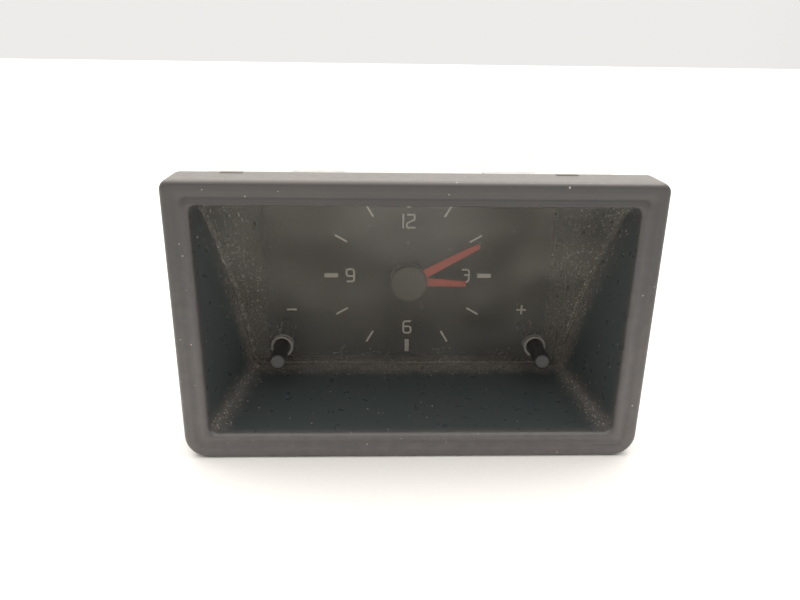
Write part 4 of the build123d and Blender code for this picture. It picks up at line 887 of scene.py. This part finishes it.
screw_sizes = [
    ("Spacing X", "NodeSocketFloat"),
    ("Spacing Z", "NodeSocketFloat"),
    ("Middle", "NodeSocketVector"),
    ("Head Radius", "NodeSocketFloat"),
    ("Head Height", "NodeSocketFloat"),
    ("Shank Radius", "NodeSocketFloat"),
    ("Shank Length", "NodeSocketFloat"),
]
screw_tree, given = new_tree("cross_head_screws", screw_sizes)
disc = add(
    screw_tree,
    "GeometryNodeMeshCircle",
    {"Vertices": 32, "Radius": given["Head Radius"]},
    fill_type="NGON",
)
whole_height = given["Head Height"]
head = disc
drawn_in = None
pan_steps = ((0.5, 1.0), (0.22, 0.96), (0.16, 0.9), (0.12, 0.78))
for share, shrink in pan_steps:
    rise = add(screw_tree, "ShaderNodeMath", {0: whole_height, 1: share}, operation="MULTIPLY")
    lifted = {"Mesh": head, "Offset Scale": rise, "Individual": False}
    if drawn_in:
        lifted["Selection"] = drawn_in
    lifted = add(screw_tree, "GeometryNodeExtrudeMesh", lifted)
    drawn_in = lifted.outputs["Top"]
    head = add(screw_tree, "GeometryNodeScaleElements", {0: lifted, "Selection": drawn_in, "Scale": shrink})
well_depth = add(screw_tree, "ShaderNodeMath", {0: whole_height, 1: 1.1}, operation="MULTIPLY")
long_side = add(screw_tree, "ShaderNodeMath", {0: given["Head Radius"], 1: 1.2}, operation="MULTIPLY")
short_side = add(screw_tree, "ShaderNodeMath", {0: given["Head Radius"], 1: 0.28}, operation="MULTIPLY")
for first, second in ((long_side, short_side), (short_side, long_side)):
    size = add(screw_tree, "ShaderNodeCombineXYZ", {0: first, 1: second, 2: well_depth})
    bar = add(screw_tree, "GeometryNodeMeshCube", {"Size": size})
    lift = add(screw_tree, "ShaderNodeCombineXYZ", {2: whole_height})
    bar = add(screw_tree, "GeometryNodeTransform", {"Geometry": bar, "Translation": lift})
    cut = add(screw_tree, "GeometryNodeMeshBoolean", {0: head, 1: bar}, operation="DIFFERENCE")
    head = cut
shank = add(
    screw_tree,
    "GeometryNodeMeshCylinder",
    {"Vertices": 24, "Radius": given["Shank Radius"], "Depth": given["Shank Length"]},
)
half_length = add(screw_tree, "ShaderNodeMath", {0: given["Shank Length"], 1: -0.5}, operation="MULTIPLY")
lift = add(screw_tree, "ShaderNodeCombineXYZ", {2: half_length})
shank = add(screw_tree, "GeometryNodeTransform", {"Geometry": shank, "Translation": lift})
whole = add(screw_tree, "GeometryNodeJoinGeometry", {0: head})
screw_tree.links.new(shank.outputs[0], whole.inputs[0])
corners = {
    "Size X": given["Spacing X"],
    "Size Y": given["Spacing Z"],
    "Vertices X": 2,
    "Vertices Y": 2,
}
corners = add(screw_tree, "GeometryNodeMeshGrid", corners)
spread = add(screw_tree, "GeometryNodeInstanceOnPoints", {"Points": corners, "Instance": whole})
stand = {"Geometry": spread, "Rotation": (math.radians(-90), 0, 0), "Translation": given["Middle"]}
stand = add(screw_tree, "GeometryNodeTransform", stand)
close_tree(screw_tree, stand, given["Material"])

zinc = metal("steel_zinc_plated", "#B4B3AC", "#9B988C", 0.3, 0.12 * mm, (1, 1, 1), 0.005 * mm)
screw_sets = (
    ("housing_screws", screw_head_radius, 1.6 * mm, 1.25 * mm),
    ("movement_screws", 1.9 * mm, 1.0 * mm, 0.9 * mm),
    ("board_screws", 1.9 * mm, 1.0 * mm, 0.9 * mm),
)
for node, head_radius, head_height, shank_radius in screw_sets:
    low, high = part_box(node)
    seat = high.y - head_height
    screws = grown(
        f"{node}_driven",
        screw_tree,
        zinc,
        Spacing_X=high.x - low.x - 2 * head_radius,
        Spacing_Z=high.z - low.z - 2 * head_radius,
        Middle=((low.x + high.x) / 2, seat, (low.z + high.z) / 2),
        Head_Radius=head_radius,
        Head_Height=head_height,
        Shank_Radius=shank_radius,
        Shank_Length=seat - low.y,
    )
    dress(screws, zinc, "case_body", "zinc_screw", node)


# ---- Bulb holder and bulb -----------------------------------------------------------------------
# A black nylon holder that pushes in through two notches and locks with a part turn of its grip. It
# holds a capless glass bulb of 5 mm, which looks forward through the board and the carrier.

holder_nylon = moulded("nylon_black_holder", "#2A2A29", "#343332", 0.2 * mm, 0.42, 0.015 * mm)
holder = finished_copy("lamp_holder", "lamp_holder_moulded", 0.25 * mm)
dress(holder, holder_nylon, "lamp_body", "lamp_black", "lamp_holder")
clear_glass = {"Transmission Weight": 0.97, "IOR": 1.5}
bulb_glass = moulded("glass_bulb_blown", "#F1F1EC", "#E6E4DA", 0.6 * mm, 0.08, 0.001 * mm, clear_glass)
repaint("lamp_bulb", bulb_glass)


# ---- Retaining clips ----------------------------------------------------------------------------
# Bowed strips of bright spring steel, riveted to the housing. They snap out behind the panel and
# hold the clock in its hole.

strip_steel = metal("spring_steel_strip_bright", "#E4E3DF", "#D2D0C9", 0.3, 0.2 * mm, (0.1, 1, 1), 0.006 * mm)
for level in ("top", "bottom"):
    for side in ("left", "right"):
        node = f"retaining_clip_{level}_{side}"
        clip = finished_copy(node, f"{node}_pressed", 0.08 * mm)
        dress(clip, strip_steel, "case_body", "spring_steel", node)


# ---- Floor, light and camera --------------------------------------------------------------------
# A plain pale sheet under the clock, a bright room all round, and two soft lamps.

floor_level = -bezel_half_height
floor_reach = 2.5
bpy.ops.mesh.primitive_plane_add(size=2 * floor_reach, location=(0, 0, floor_level))
floor = bpy.context.object
floor.name = "floor_sheet"
floor_paper, tree, place = new_material("paper_pale_sheet")
fibres = add(tree, "ShaderNodeTexNoise", {"Vector": place, "Scale": 1 / (1.2 * mm), "Detail": 4.0})
tones = {0: fibres, 6: linear("#F6F3EF"), 7: linear("#F1EDE8")}
base = add(tree, "ShaderNodeMix", tones, data_type="RGBA").outputs[2]
surface = add(tree, "ShaderNodeBsdfPrincipled", {"Base Color": base, "Roughness": 0.7})
add(tree, "ShaderNodeOutputMaterial", {0: surface})
floor.data.materials.append(floor_paper)

room = bpy.data.worlds.new("studio_room")
bpy.context.scene.world = room
room.use_nodes = True
room.node_tree.nodes.clear()
toward = add(room.node_tree, "ShaderNodeTexCoord", {}).outputs["Generated"]
toward = add(room.node_tree, "ShaderNodeSeparateXYZ", {0: toward})
behind = {0: toward.outputs[1], 1: -0.4, 2: 0.9, 3: 0.2, 4: 0.85}
behind = add(room.node_tree, "ShaderNodeMapRange", behind)
overhead = {0: toward.outputs[2], 1: 0.2, 2: 1.0, 3: 0.0, 4: 1.9}
overhead = add(room.node_tree, "ShaderNodeMapRange", overhead)
glow = add(room.node_tree, "ShaderNodeMath", {0: behind, 1: overhead}, operation="ADD")
white = add(room.node_tree, "ShaderNodeBackground", {"Color": (1.0, 0.985, 0.965, 1), "Strength": glow})
add(room.node_tree, "ShaderNodeOutputWorld", {0: white})

lamp_size = 0.4
lamp_watts = 1.5
for name, spot in (("softbox_left", (-0.45, 0.1, 0.85)), ("softbox_top", (0.3, 0.1, 0.9))):
    lamp = bpy.data.lights.new(name, "AREA")
    lamp.shape = "DISK"
    lamp.size = lamp_size
    lamp.energy = lamp_watts
    stand = bpy.data.objects.new(name, lamp)
    stand.location = spot
    stand.rotation_euler = (-Vector(spot)).to_track_quat("-Z", "Y").to_euler()
    bpy.context.scene.collection.objects.link(stand)

camera_place = Vector((-8.99, -159.15, 63.05)) * mm
pitch = math.radians(20.505)
heading = math.radians(2.087)
tilt = math.radians(-0.854)
forward = Vector((
    math.sin(heading) * math.cos(pitch),
    math.cos(heading) * math.cos(pitch),
    -math.sin(pitch),
))
level_right = Vector((math.cos(heading), -math.sin(heading), 0))
down = forward.cross(level_right)
right = level_right * math.cos(tilt) + down * math.sin(tilt)
up = level_right * math.sin(tilt) - down * math.cos(tilt)
lens = bpy.data.cameras.new("camera")
lens.lens = 31.9
lens.sensor_width = 36
lens.clip_start = 1 * mm
camera = bpy.data.objects.new("camera", lens)
turn = Matrix((right, up, -forward)).transposed().to_4x4()
camera.matrix_world = Matrix.Translation(camera_place) @ turn
bpy.context.scene.collection.objects.link(camera)
bpy.context.scene.camera = camera
bpy.context.scene.view_settings.view_transform = "Standard"
